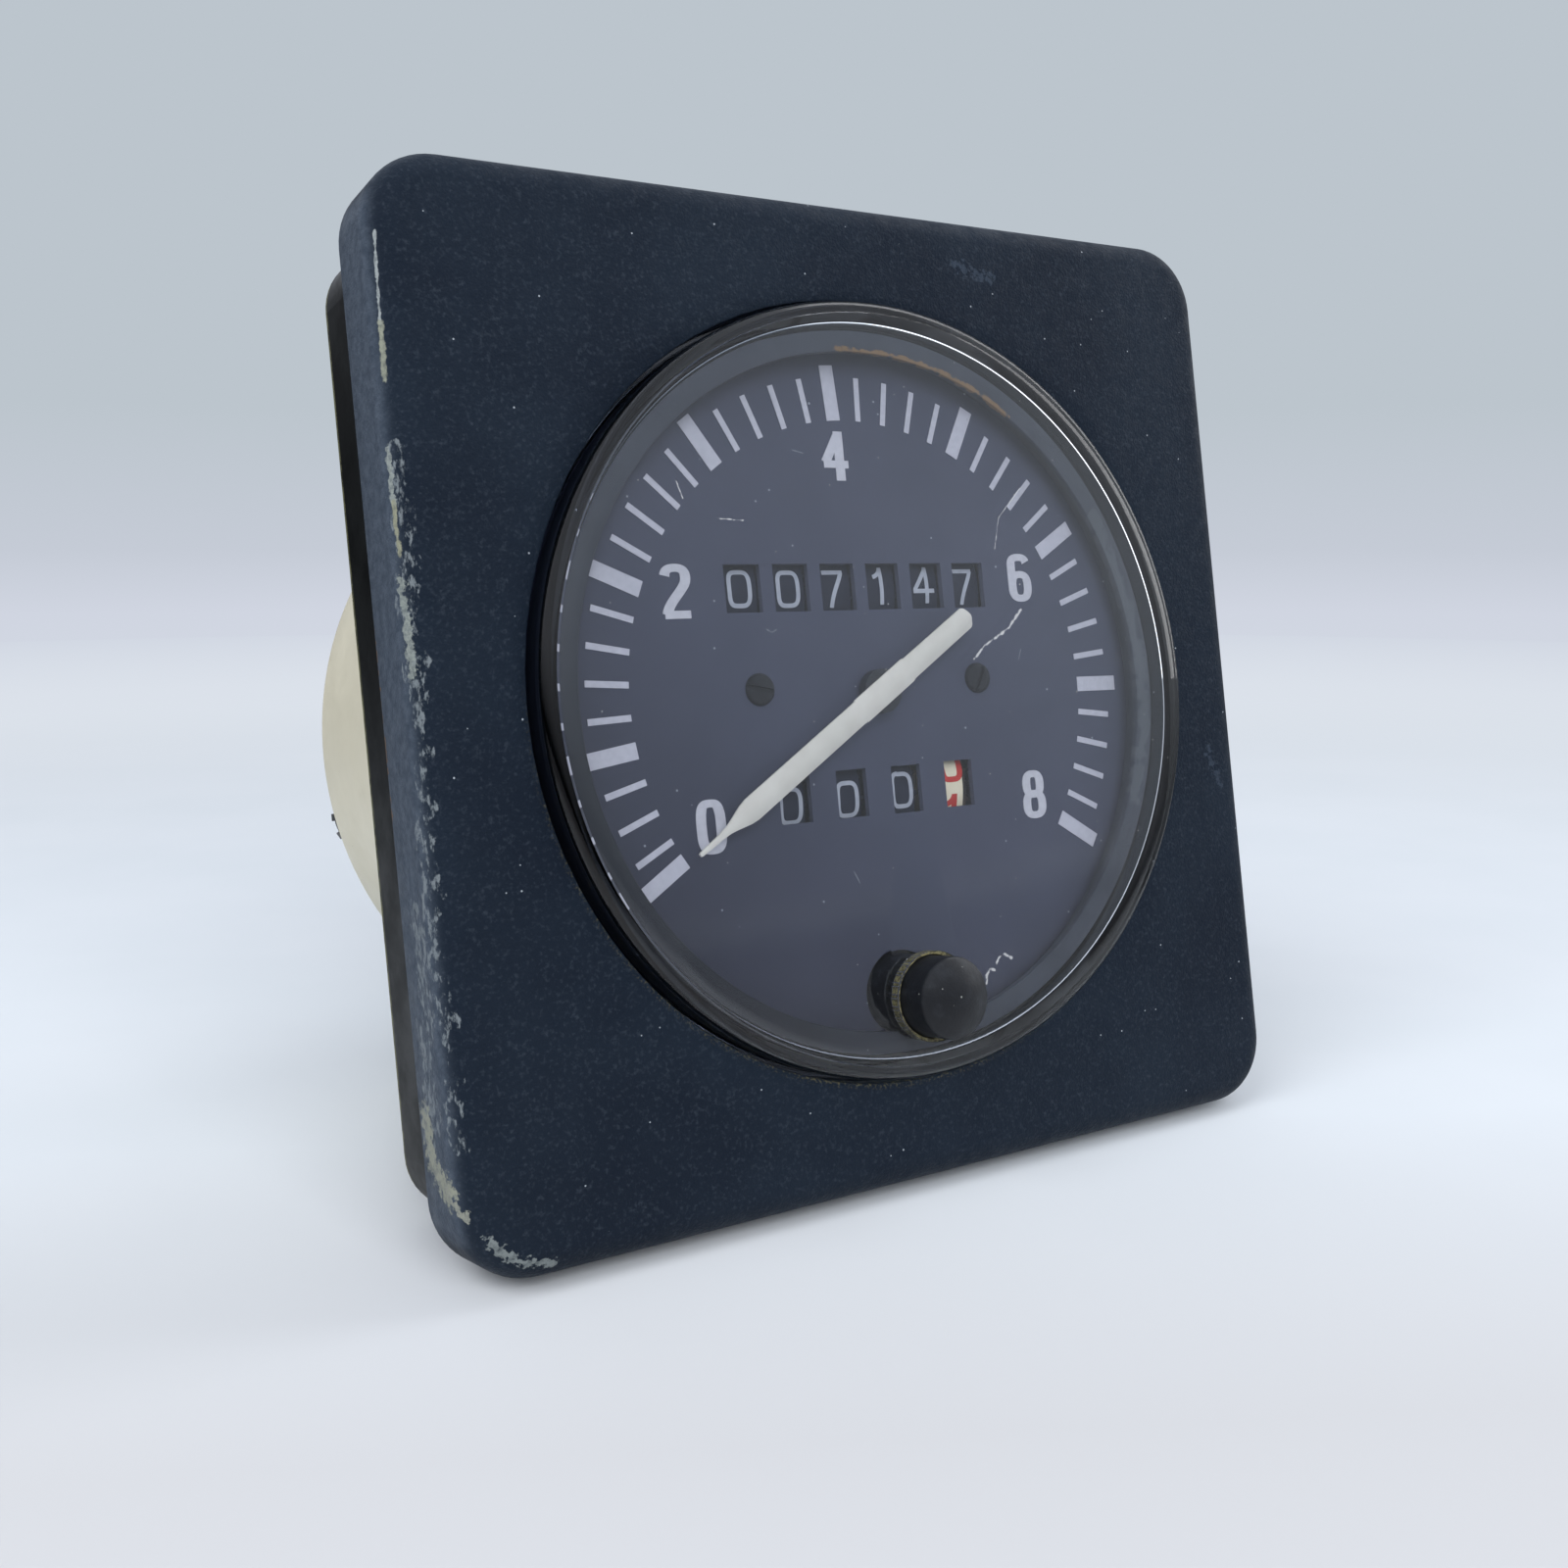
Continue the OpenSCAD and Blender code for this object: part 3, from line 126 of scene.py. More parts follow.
def mottled(tree, place, size_mm, one, other, low=0.3, high=0.7, detail=4):
    """Two tones of one finish, in soft patches about this many millimetres across."""
    share = patches(tree, place, size_mm, low, high, detail)
    return add(
        tree, "Mix", {"Factor": share, "A": linear(one), "B": linear(other)}, data_type="RGBA"
    )


def specks(tree, place, cell_mm, speck_mm, share):
    """Fine dust: at most one speck in each cell of this size, in this share of the cells."""
    cells = add(tree, "TexVoronoi", {"Vector": place, "Scale": 1 / (cell_mm * mm)})
    lot = add(tree, "SeparateColor", {0: cells.outputs["Color"]})
    largest = speck_mm / cell_mm
    size = add(
        tree, "MapRange", {"Value": lot.outputs[1], "To Min": 0.4 * largest, "To Max": largest}
    )
    inside = add(tree, "Math", {0: cells, 1: size}, operation="LESS_THAN")
    chosen = add(tree, "Math", {0: lot.outputs[0], 1: 1 - share}, operation="GREATER_THAN")
    return add(tree, "Math", {0: inside, 1: chosen}, operation="MULTIPLY")


def along(tree, place, points, width_mm, ragged_mm, grain_mm):
    """A mark along points of the surface, in millimetres: 1 on it and 0 past its edge."""
    reach = None
    for start, end in zip(points, points[1:]):
        start, run = Vector(start) * mm, (Vector(end) - Vector(start)) * mm
        offset = add(tree, "VectorMath", {0: place, 1: start}, operation="SUBTRACT")
        share = add(
            tree, "VectorMath", {0: offset, 1: run / run.length_squared}, operation="DOT_PRODUCT"
        )
        held = add(tree, "Math", {0: share, 1: 0.0}, operation="ADD", use_clamp=True)
        foot = add(tree, "VectorMath", {0: run, "Scale": held}, operation="SCALE")
        gap = add(tree, "VectorMath", {0: offset, 1: foot}, operation="DISTANCE")
        reach = add(tree, "Math", {0: reach, 1: gap}, operation="MINIMUM") if reach else gap
    waver = ragged_mm * mm
    uneven = patches(tree, place, grain_mm, 0.25, 0.75, 3, (-waver, waver))
    reach = add(tree, "Math", {0: reach, 1: uneven}, operation="ADD")
    half = width_mm * mm / 2
    fall = {"Value": reach, "From Min": half * 0.6, "From Max": half * 1.2}
    return add(
        tree, "MapRange", {**fall, "To Min": 1.0, "To Max": 0.0}, interpolation_type="SMOOTHSTEP"
    )


def seen_rays(tree):
    """The kinds of ray, and 1 for those the camera sees, directly or through the lens."""
    ray = add(tree, "LightPath").outputs
    seen = add(
        tree, "Math", {0: ray["Is Camera Ray"], 1: ray["Is Transmission Ray"]},
        operation="MAXIMUM",
    )
    return ray, seen


# Table and backdrop: a sweep of white paper. The instrument leans back on the lower edge of
# its cover and on its housing, so the table is tilted in the instrument's own frame. The
# paper mirrors dimly in the lens, because the real room was darker than the sweep.
lean = math.radians(10.05)
table_up = Vector((0, -math.sin(lean), math.cos(lean)))
table_drop = -51.7 * mm
table_r = 1.2
table_mesh = bpy.data.meshes.new("table")
table_build = bmesh.new()
bmesh.ops.create_circle(table_build, cap_ends=True, segments=96, radius=table_r)
table_build.transform(
    Matrix.Translation(table_up * table_drop) @ Matrix.Rotation(lean, 4, "X")
)
table_build.to_mesh(table_mesh)
table_build.free()
table = bpy.data.objects.new("table", table_mesh)
bpy.context.scene.collection.objects.link(table)
table_paper, tree, place = start_finish("white_sweep_paper")
paper_tone = mottled(tree, place, 70, "#d3dae1", "#d8dee5", 0.2, 0.8, 3)
# The paper is painted darker in front of the instrument, towards the camera: painted shade for the
# shadow under its front
near_shade = add(tree, "VectorMath", {0: place, 1: (-4.5, -9.0, 0.0)}, operation="DOT_PRODUCT")
near_shade = add(tree, "MapRange", {"Value": near_shade, "From Min": 0.0, "From Max": 0.7})
paper_tone = add(
    tree, "Mix", {"Factor": near_shade, "A": paper_tone, "B": linear("#c5c7cb")}, data_type="RGBA"
)
paper = add(tree, "BsdfPrincipled", {"Base Color": paper_tone, "Roughness": 0.8})
distance = add(tree, "VectorMath", {0: place}, operation="LENGTH")
far_share = add(tree, "MapRange", {"Value": distance, "From Min": 0.2, "From Max": table_r})
far_tone = add(tree, "ValToRGB", {"Fac": far_share})
far_tone.color_ramp.elements[0].color = linear("#dce3eb")
far_tone.color_ramp.elements[1].color = linear("#d2d8e3")
far_tone.color_ramp.elements.new(0.5).color = linear("#dbe1ea")
far_light = add(tree, "Emission", {"Color": far_tone, "Strength": 1.0})
fade = add(
    tree, "MapRange", {"Value": distance, "From Min": 0.16, "From Max": 0.6},
    interpolation_type="SMOOTHSTEP",
)
ray, seen = seen_rays(tree)
fade_seen = add(tree, "Math", {0: fade, 1: seen}, operation="MULTIPLY")
dim_share = add(
    tree, "MapRange", {"Value": distance, "From Min": 0.12, "From Max": 0.4, "To Max": 0.85}
)
dim_seen = add(tree, "Math", {0: dim_share, 1: ray["Is Glossy Ray"]}, operation="MULTIPLY")
mirror_tone = linear("#e4eaf5")
dim_room = add(tree, "Emission", {"Color": mirror_tone, "Strength": 0.14})
mirrored_paper = add(tree, "MixShader", {0: dim_seen, 1: paper, 2: dim_room})
paper_surface = add(tree, "MixShader", {0: fade_seen, 1: mirrored_paper, 2: far_light})
add(tree, "OutputMaterial", {"Surface": paper_surface})
table_mesh.materials.append(table_paper)

# Light: a pale room all round, broad soft lamps in front and high on the left, and a tall
# window on the right that draws the bright line along the lens's edge. The lens mirrors the
# room dimly below and to the left, and more brightly above.
room = bpy.data.worlds.new("room")
bpy.context.scene.world = room
room.use_nodes = True
tree = room.node_tree
tree.nodes.clear()
heading = add(tree, "TexCoord").outputs["Generated"]
rise = add(tree, "VectorMath", {0: heading, 1: table_up}, operation="DOT_PRODUCT")
sweep = add(tree, "MapRange", {"Value": rise, "From Min": -0.07, "From Max": 0.08})
sweep_tone = add(tree, "ValToRGB", {"Fac": sweep})
sweep_tone.color_ramp.elements[0].color = linear("#d2d8e3")
sweep_tone.color_ramp.elements[1].color = linear("#bcc5cd")
for position, code in ((0.22, "#d0d5e1"), (0.46, "#c5cbd6")):
    sweep_tone.color_ramp.elements.new(position).color = linear(code)
seen_room = add(tree, "Background", {"Color": sweep_tone, "Strength": 1.0})
rightward = add(tree, "SeparateXYZ", {0: heading}).outputs[0]
lift = add(
    tree, "MapRange",
    {"Value": rightward, "From Min": 0.45, "From Max": 0.7, "To Min": -0.09, "To Max": 0.06},
)
rise = add(tree, "Math", {0: rise, 1: lift}, operation="ADD")
mirrored = add(
    tree, "MapRange",
    {"Value": rise, "From Min": -0.05, "From Max": 0.29, "To Min": 0.02, "To Max": 1.0},
)
mirror_room = add(tree, "Background", {"Color": mirror_tone, "Strength": mirrored})
room_light = add(tree, "Background", {"Color": linear("#eef2fb"), "Strength": 0.5})
ray, seen = seen_rays(tree)
shone = add(tree, "MixShader", {0: ray["Is Glossy Ray"], 1: room_light, 2: mirror_room})
room_mix = add(tree, "MixShader", {0: seen, 1: shone, 2: seen_room})
add(tree, "OutputWorld", {"Surface": room_mix})
for name, position, size, watts, in_mirrors in (
    ("soft_front", (-0.25, -1.15, 0.4), (0.8, 0.8), 12.5, False),
    ("soft_left", (-0.9, -0.45, 0.8), (0.8, 0.8), 9.5, False),
    ("window_right", (0.91, -0.28, 0.65), (0.42, 1.45), 3.8, True),
):
    lamp_data = bpy.data.lights.new(name, "AREA")
    lamp_data.shape = "RECTANGLE"
    lamp_data.size, lamp_data.size_y = size
    lamp_data.energy = watts
    lamp = bpy.data.objects.new(name, lamp_data)
    lamp.visible_glossy = lamp.visible_transmission = in_mirrors
    aim = (-Vector(position)).to_track_quat("-Z", "Y")
    lamp.matrix_world = Matrix.Translation(position) @ aim.to_matrix().to_4x4()
    bpy.context.scene.collection.objects.link(lamp)


def dress(name, node, body, material, mesh, angle=32):
    """Finishes a piece: smooth faces with crisp corners, its material, body and node."""
    mesh.validate()
    mesh.shade_smooth()
    mesh.set_sharp_from_angle(angle=math.radians(angle))
    piece = bpy.data.objects.new(name, mesh)
    bpy.context.scene.collection.objects.link(piece)
    mesh.materials.clear()
    mesh.materials.append(material)
    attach(piece, body)
    if node:
        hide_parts(node)
    return piece


def square_ring(half, corner, y, straight_steps=20, round_steps=14):
    """Points of a rounded square round the dial's axis at one depth, in millimetres."""
    points = []
    straight = half - corner
    for k in range(4):
        turn = math.radians(90 * k)
        side = [(half, straight * (2 * i / straight_steps - 1)) for i in range(straight_steps)]
        for i in range(round_steps):
            a = math.radians(90 * i / round_steps)
            side.append((straight + corner * math.cos(a), straight + corner * math.sin(a)))
        for x, z in side:
            points.append(
                (
                    x * math.cos(turn) - z * math.sin(turn), y,
                    x * math.sin(turn) + z * math.cos(turn),
                )
            )
    return points


def circle_like(ring, radius, y):
    """A circle with its points in the directions of another ring's points."""
    return [
        (radius * x / math.hypot(x, z), y, radius * z / math.hypot(x, z)) for x, _, z in ring
    ]


def ring_mesh(name, rings, closed=True):
    """A skin over rings of equal point counts, in millimetres; closed joins last to first."""
    count = len(rings[0])
    points = [tuple(c * mm for c in p) for ring in rings for p in ring]
    last = len(rings) if closed else len(rings) - 1
    faces = []
    for i in range(last):
        a, b = i * count, (i + 1) % len(rings) * count
        for j in range(count):
            k = (j + 1) % count
            faces.append((a + j, a + k, b + k, b + j))
    if not closed:
        faces.append(tuple(reversed(range(count))))
        faces.append(tuple((len(rings) - 1) * count + j for j in range(count)))
    mesh = bpy.data.meshes.new(name)
    mesh.from_pydata(points, [], faces)
    build = bmesh.new()
    build.from_mesh(mesh)
    bmesh.ops.remove_doubles(build, verts=build.verts, dist=1e-7)
    bmesh.ops.recalc_face_normals(build, faces=build.faces)
    build.to_mesh(mesh)
    build.free()
    return mesh


# Front cover: a square ABS moulding with a fine leather grain, a rounded front edge and a
# round opening. Its left wall and the edge beside it are scuffed to pale flakes and streaks,
# and dirt lies in the seams.
cover_half, cover_corner, cover_wall, cover_edge = 55.0, 8.0, 2.4, 3.1
cover_front, cover_inner, cover_rear = -24.0, -21.4, -14.6
opening_r, opening_round = 43.5, 0.35
square_front = square_ring(cover_half - cover_edge, cover_corner - cover_edge, cover_front)
round_front = circle_like(square_front, opening_r + opening_round, cover_front)
cover_rings = [
    [tuple(a + (b - a) * i / 7 for a, b in zip(p, q)) for p, q in zip(round_front, square_front)]
    for i in range(8)
]
for i in range(1, 11):
    a = math.radians(9 * i)
    inset = cover_edge * (1 - math.sin(a))
    depth = cover_front + cover_edge * (1 - math.cos(a))
    cover_rings.append(square_ring(cover_half - inset, cover_corner - inset, depth))
for inset, depth in (
    (0, cover_rear - 3), (0, cover_rear - 0.3), (0.1, cover_rear - 0.1), (0.3, cover_rear),
    (cover_wall, cover_rear), (cover_wall, cover_inner),
):
    cover_rings.append(square_ring(cover_half - inset, cover_corner - inset, depth))
round_inner = circle_like(cover_rings[-1], opening_r, cover_inner)
cover_rings += [
    round_inner,
    circle_like(round_inner, opening_r, cover_front + opening_round),
    circle_like(round_inner, opening_r + 0.1, cover_front + 0.1),
]
cover_abs, tree, place = start_finish("grained_abs")
across, deep, high = add(tree, "SeparateXYZ", {0: place}).outputs
# The grain is drawn at half a millimetre, coarser than the real one, so that it shows
pebbles = add(
    tree, "TexVoronoi", {"Vector": place, "Scale": 1 / (0.5 * mm), "Smoothness": 0.5},
    feature="SMOOTH_F1",
)
pits = patches(tree, place, 0.28, 0.2, 0.8, 2)
leather = add(tree, "Math", {0: pebbles, 1: 0.7, 2: pits}, operation="MULTIPLY_ADD")
colour = mottled(tree, place, 25, "#0f1722", "#151e29", detail=3)
film = patches(tree, place, 0.45, 0.5, 0.8, 3, (0.0, 0.16))
# The side walls are chalky with dust. The left one is paler still: part of that is dust and part is
# painted light, for the side the light falls on
off_front = add(
    tree, "MapRange",
    {"Value": deep, "From Min": (cover_front + 0.4) * mm, "From Max": (cover_front + 2.5) * mm},
    interpolation_type="SMOOTHSTEP",
)
left_wall_light = add(
    tree, "MapRange",
    {"Value": across, "From Min": -0.0548, "From Max": -0.0535, "To Min": 1.0, "To Max": 0.25},
    interpolation_type="SMOOTHSTEP",
)
chalk_and_painted_light = add(tree, "Math", {0: off_front, 1: left_wall_light}, operation="MULTIPLY")
chalk_tone = mottled(tree, place, 1.1, "#343d49", "#454e5a", detail=6)
# Flakes are scuffed out along the rounded edge and over the foot of the wall
stretched = add(tree, "Mapping", {"Vector": place, "Scale": (1.0, 1.0, 0.45)})
flake_noise = add(
    tree, "TexNoise",
    {"Vector": stretched, "Scale": 1 / (0.6 * mm), "Detail": 4, "Roughness": 0.65},
)
edge_band = along(
    tree, place,
    [(-54.1, -23.0, 26), (-54.2, -23.0, 8), (-54.3, -22.9, -4), (-54.6, -22.4, -14),
     (-54.7, -22.2, -20), (-54.3, -22.8, -30), (-54.2, -22.9, -40)],
    2.2, 1.0, 4,
)
foot_band = along(
    tree, place, [(-55, -20.5, -20), (-55, -18.6, -32), (-55, -17.8, -43)], 5.0, 1.6, 4
)
foot_band = add(tree, "Math", {0: foot_band, 1: 1.1}, operation="MULTIPLY")
band = add(tree, "Math", {0: edge_band, 1: foot_band}, operation="MAXIMUM")
flake_level = add(tree, "Math", {0: band, 1: 0.28, 2: flake_noise}, operation="MULTIPLY_ADD")
flakes = add(
    tree, "MapRange", {"Value": flake_level, "From Min": 0.77, "From Max": 0.92, "To Max": 0.7},
    interpolation_type="SMOOTHSTEP",
)
for share, tone in (
    (film, linear("#56606c")), (chalk_and_painted_light, chalk_tone), (flakes, linear("#737b80")),
):
    colour = add(tree, "Mix", {"Factor": share, "A": colour, "B": tone}, data_type="RGBA")
# Long streaks, whose lower ends go olive, a bare patch at the foot, the worn corner and two
# faint scuffs on the face: each with its width, its ragged edge, its colour and its points
for width, ragged, code, *points in (
    (0.34, 0.1, "#868d8f", (-54.14, -23.04, 46.2), (-54.28, -22.87, 41.2), (-54.32, -22.81, 37.5)),
    (0.62, 0.15, "#7e8276", (-54.32, -22.81, 37.5), (-54.38, -22.75, 32.2)),
    (0.6, 0.25, "#7d8482", (-54.62, -22.39, 25.6), (-54.58, -22.46, 20.5)),
    (0.5, 0.15, "#7f8170", (-54.56, -22.47, 20.5), (-54.47, -22.61, 15.4)),
    (0.8, 0.45, "#79807d", (-54.5, -22.5, 13.0), (-54.42, -22.65, 9.5), (-54.4, -22.7, 4.0)),
    (2.6, 0.9, "#83867a", (-55, -16.6, -38.5), (-55, -17.4, -43.0), (-54.9, -21.0, -45.3)),
    (0.9, 0.5, "#7d8078", (-54.9, -20.5, -45.0), (-54.2, -22.9, -47.4)),
    (0.8, 0.55, "#6d7475", (-52.6, -23.9, -49.8), (-50.0, -23.8, -52.3), (-46.0, -23.7, -53.6)),
    (1.0, 0.9, "#2b3440", (15.3, -24, 49.2), (17.8, -24, 48.3), (20.3, -24, 48.1)),
    (0.8, 0.7, "#2b3440", (49.1, -24, -10.0), (50.7, -24, -14.6)),
):
    mark = along(tree, place, points, width, ragged, 0.8)
    worn = patches(tree, place, 0.7, 0.3, 0.6, 4, (0.45, 0.95))
    mark = add(tree, "Math", {0: mark, 1: worn}, operation="MULTIPLY")
    colour = add(tree, "Mix", {"Factor": mark, "A": colour, "B": linear(code)}, data_type="RGBA")
rust = along(tree, place, [(-55, -14.6, 9), (-55, -14.6, -12)], 0.7, 0.5, 1.1)
# Brown dust has settled round the lower part of the opening
flat_place = add(tree, "CombineXYZ", {"X": across, "Z": high})
from_axis = add(tree, "VectorMath", {0: flat_place}, operation="LENGTH")
by_opening = add(
    tree, "MapRange",
    {"Value": from_axis, "From Min": (opening_r + 0.1) * mm, "From Max": (opening_r + 0.8) * mm,
     "To Min": 1.0, "To Max": 0.0},
)
lower = add(tree, "VectorMath", {0: flat_place, 1: (-10, 0, -25)}, operation="DOT_PRODUCT")
lower = add(tree, "MapRange", {"Value": lower, "From Min": 0.3, "From Max": 1.1})
dirt = add(tree, "Math", {0: by_opening, 1: lower}, operation="MULTIPLY")
crumbs = patches(tree, place, 0.32, 0.5, 0.66, 4, (0.0, 0.85))
dirt = add(tree, "Math", {0: dirt, 1: crumbs}, operation="MULTIPLY")
dust = specks(tree, place, 1.9, 0.16, 0.3)
for share, code in ((rust, "#5f4c3d"), (dirt, "#57533f"), (dust, "#8d959e")):
    colour = add(tree, "Mix", {"Factor": share, "A": colour, "B": linear(code)}, data_type="RGBA")
sheen = patches(tree, place, 2.0, to=(0.5, 0.66))
skin(tree, colour, sheen, leather, 0.035, Specular_IOR_Level=0.12)
dress(
    "front_cover", "bezel", "case", cover_abs, ring_mesh("front_cover", cover_rings),
)

# Surface frame: a satin black moulding that stands on the panel. It shows as a dark band
# behind the cover, and an olive line, broken into patches, runs along its rear outer edge.
frame_black, tree, place = start_finish("satin_black_abs")
across, deep, high = add(tree, "SeparateXYZ", {0: place}).outputs
colour = mottled(tree, place, 6, "#070808", "#0e1010", 0.35, 0.75, 5)
# An olive line, broken into patches, along the rear outer edge
at_rear = add(tree, "MapRange", {"Value": deep, "From Min": -0.0006, "From Max": -0.0003})
out_x = add(tree, "Math", {0: across}, operation="ABSOLUTE")
out_z = add(tree, "Math", {0: high}, operation="ABSOLUTE")
outmost = add(tree, "Math", {0: out_x, 1: out_z}, operation="MAXIMUM")
at_edge = add(tree, "MapRange", {"Value": outmost, "From Min": 0.0512, "From Max": 0.0517})
olive_edge_line = add(tree, "Math", {0: at_rear, 1: at_edge}, operation="MULTIPLY")
crumbs = patches(tree, place, 1.2, 0.25, 0.6, 4, (0.1, 0.9))
olive_edge_line = add(tree, "Math", {0: olive_edge_line, 1: crumbs}, operation="MULTIPLY")
dust = specks(tree, place, 2.2, 0.12, 0.35)
for share, code in ((olive_edge_line, "#63634a"), (dust, "#7c827f")):
    colour = add(tree, "Mix", {"Factor": share, "A": colour, "B": linear(code)}, data_type="RGBA")
ripple = patches(tree, place, 9, detail=2)
skin(tree, colour, patches(tree, place, 5, to=(0.3, 0.45)), ripple, 0.02, Specular_IOR_Level=0.08)


def coat(material, *nodes):
    """Gives CAD nodes that keep their shape a material."""
    for node in nodes:
        for material_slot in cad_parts[node].material_slots:
            material_slot.material = material


coat(frame_black, "mounting_frame")


def turned_mesh(name, profile, segments=180, centre=(0.0, 0.0)):
    """A closed profile of radius and depth turned about an axis along Y, in millimetres."""
    rings = []
    for k in range(segments):
        a = 2 * math.pi * k / segments
        rings.append(
            [(centre[0] + r * math.cos(a), y, centre[1] + r * math.sin(a)) for r, y in profile]
        )
    return ring_mesh(name, rings)


def cut(mesh, tools):
    """Cuts other closed meshes out of a mesh."""
    body = bpy.data.objects.new("body", mesh)
    bpy.context.scene.collection.objects.link(body)
    helpers = []
    for tool_mesh in tools:
        tool = bpy.data.objects.new("tool", tool_mesh)
        bpy.context.scene.collection.objects.link(tool)
        helpers.append(tool)
        cutter = body.modifiers.new("cut", "BOOLEAN")
        cutter.operation = "DIFFERENCE"
        cutter.solver = "EXACT"
        cutter.object = tool
    graph = bpy.context.evaluated_depsgraph_get()
    result = bpy.data.meshes.new_from_object(body.evaluated_get(graph))
    for helper in helpers + [body]:
        bpy.data.objects.remove(helper)
    return result


def drill(radius, from_y, to_y, x=0.0, z=0.0, segments=72):
    """A round cutter along Y."""
    return turned_mesh(
        "drill", [(0, from_y), (radius, from_y), (radius, to_y), (0, to_y)], segments, (x, z)
    )


def rounded(outline, radius, steps=3):
    """Rounds the corners of a closed outline by up to this radius."""
    result = []
    count = len(outline)
    for i, corner in enumerate(outline):
        before, after = Vector(outline[i - 1]), Vector(outline[(i + 1) % count])
        corner = Vector(corner)
        if corner.x <= 0:
            result.append(tuple(corner))
            continue
        to_a, to_b = before - corner, after - corner
        reach = min(radius, to_a.length * 0.45, to_b.length * 0.45)
        start, end = corner + to_a.normalized() * reach, corner + to_b.normalized() * reach
        for k in range(steps + 1):
            t = k / steps
            result.append(tuple(start * (1 - t) ** 2 + corner * 2 * t * (1 - t) + end * t * t))
    return result


def arc(cx, cy, rx, ry, start, end, square=2.4, steps=18):
    """Points of an arc from one angle to another, in degrees: round at 2, squarer above."""
    points = []
    for i in range(steps + 1):
        a = math.radians(start + (end - start) * i / steps)
        c, s = math.cos(a), math.sin(a)
        x, y = (math.copysign(abs(v) ** (2 / square), v) for v in (c, s))
        points.append((cx + rx * x, cy + ry * y))
    return points


# Housing: a deep round cup of ivory thermoplastic, smooth and slightly dull, that passes
# through the panel. Its front part, rim and inside, is coloured near-black as painted shade,
# so that the ivory doesn't show through the lens.
housing_r, collar_r, groove_r, housing_bore = 44.0, 44.2, 43.5, 42.0
housing_end, housing_floor, housing_round, housing_rim = 44.6, 42.6, 1.6, -18.8
housing_profile = [(0, housing_end)] + arc(
    housing_r - housing_round, housing_end - housing_round, housing_round, housing_round, 90, 0,
    2, 8,
)
housing_profile += [
    (housing_r, 0.1), (housing_r - 0.1, 0), (groove_r, 0), (groove_r, -1.95), (43.6, -2),
    (collar_r - 0.1, -2), (collar_r, -2.1), (collar_r, housing_rim + 0.1),
    (collar_r - 0.1, housing_rim), (housing_bore + 0.1, housing_rim),
    (housing_bore, housing_rim + 0.1), (housing_bore, housing_floor), (0, housing_floor),
]
lamp_hole, stud_hole, screw_hole = 4.6, 2.44, 1.5
holes = [(lamp_hole, side * 35.3, -8) for side in (-1, 1)]
holes += [(stud_hole, 0, side * 31) for side in (-1, 1)]
holes += [(screw_hole, side * 18, level * 20) for side in (-1, 1) for level in (-1, 1)]
housing_cutters = [drill(r, housing_floor - 0.6, housing_end + 0.4, x, z) for r, x, z in holes]
housing_ivory, tree, place = start_finish("ivory_thermoplastic")
deep = add(tree, "SeparateXYZ", {0: place}).outputs[1]
colour = mottled(tree, place, 18, "#cdc8b4", "#c3beaa")
smudge = patches(tree, place, 4, 0.6, 0.8, 6, (0.0, 0.35))
dust = specks(tree, place, 2.6, 0.14, 0.3)
# Painted shade: the front 17.6 mm of the cup, outside and in, is coloured near-black
front_shade = add(
    tree, "MapRange",
    {"Value": deep, "From Min": -0.0012, "From Max": -0.001, "To Min": 1.0, "To Max": 0.0},
)
for share, code in ((smudge, "#9c9884"), (dust, "#7d796a"), (front_shade, "#17191d")):
    colour = add(tree, "Mix", {"Factor": share, "A": colour, "B": linear(code)}, data_type="RGBA")
skin(tree, colour, patches(tree, place, 7, to=(0.36, 0.5)), patches(tree, place, 1.4), 0.008)
dress(
    "housing_cup", "housing", "case", housing_ivory,
    cut(turned_mesh("housing_cup", housing_profile), housing_cutters),
)

# Lens: a clear acrylic cap, moulded with a bead round its face, a rounded edge and a flange
# under the cover. Light from lamps passes through it to the dial. Its face has two long
# scratches, fine hairlines and dust, which scatter the light a little.
lens_front, lens_back, lens_bore = -27.2, -24.9, 40.7
bead_r, bead_arc = 39.8, 5.0
edge_r, edge_top, edge_round = 43.0, -26.7, 1.25
flange_r, flange_front, flange_rear = 45.3, -21.4, -19.9
lens_profile = [(0, lens_front), (39.4, lens_front)]
lens_profile += arc(bead_r, lens_front + bead_arc, bead_arc, bead_arc, -90, -72, 2, 10)
lens_profile.append((41.5, edge_top - 0.05))
lens_profile += arc(
    edge_r - edge_round, edge_top + edge_round, edge_round, edge_round, -90, 0, 2, 10
)
lens_profile += [
    (edge_r, flange_front - 0.1), (edge_r + 0.1, flange_front), (flange_r - 0.1, flange_front),
    (flange_r, flange_front + 0.1), (flange_r, flange_rear - 0.1),
    (flange_r - 0.1, flange_rear), (lens_bore + 0.1, flange_rear), (lens_bore, flange_rear - 0.1),
]
lens_profile += arc(lens_bore - 0.5, lens_back + 0.5, 0.5, 0.5, 0, -90, 2, 5)
lens_profile.append((0, lens_back))
knob_place = (0, -34.2)
acrylic, tree, place = start_finish("clear_acrylic")
marked = specks(tree, place, 2.3, 0.16, 0.4)
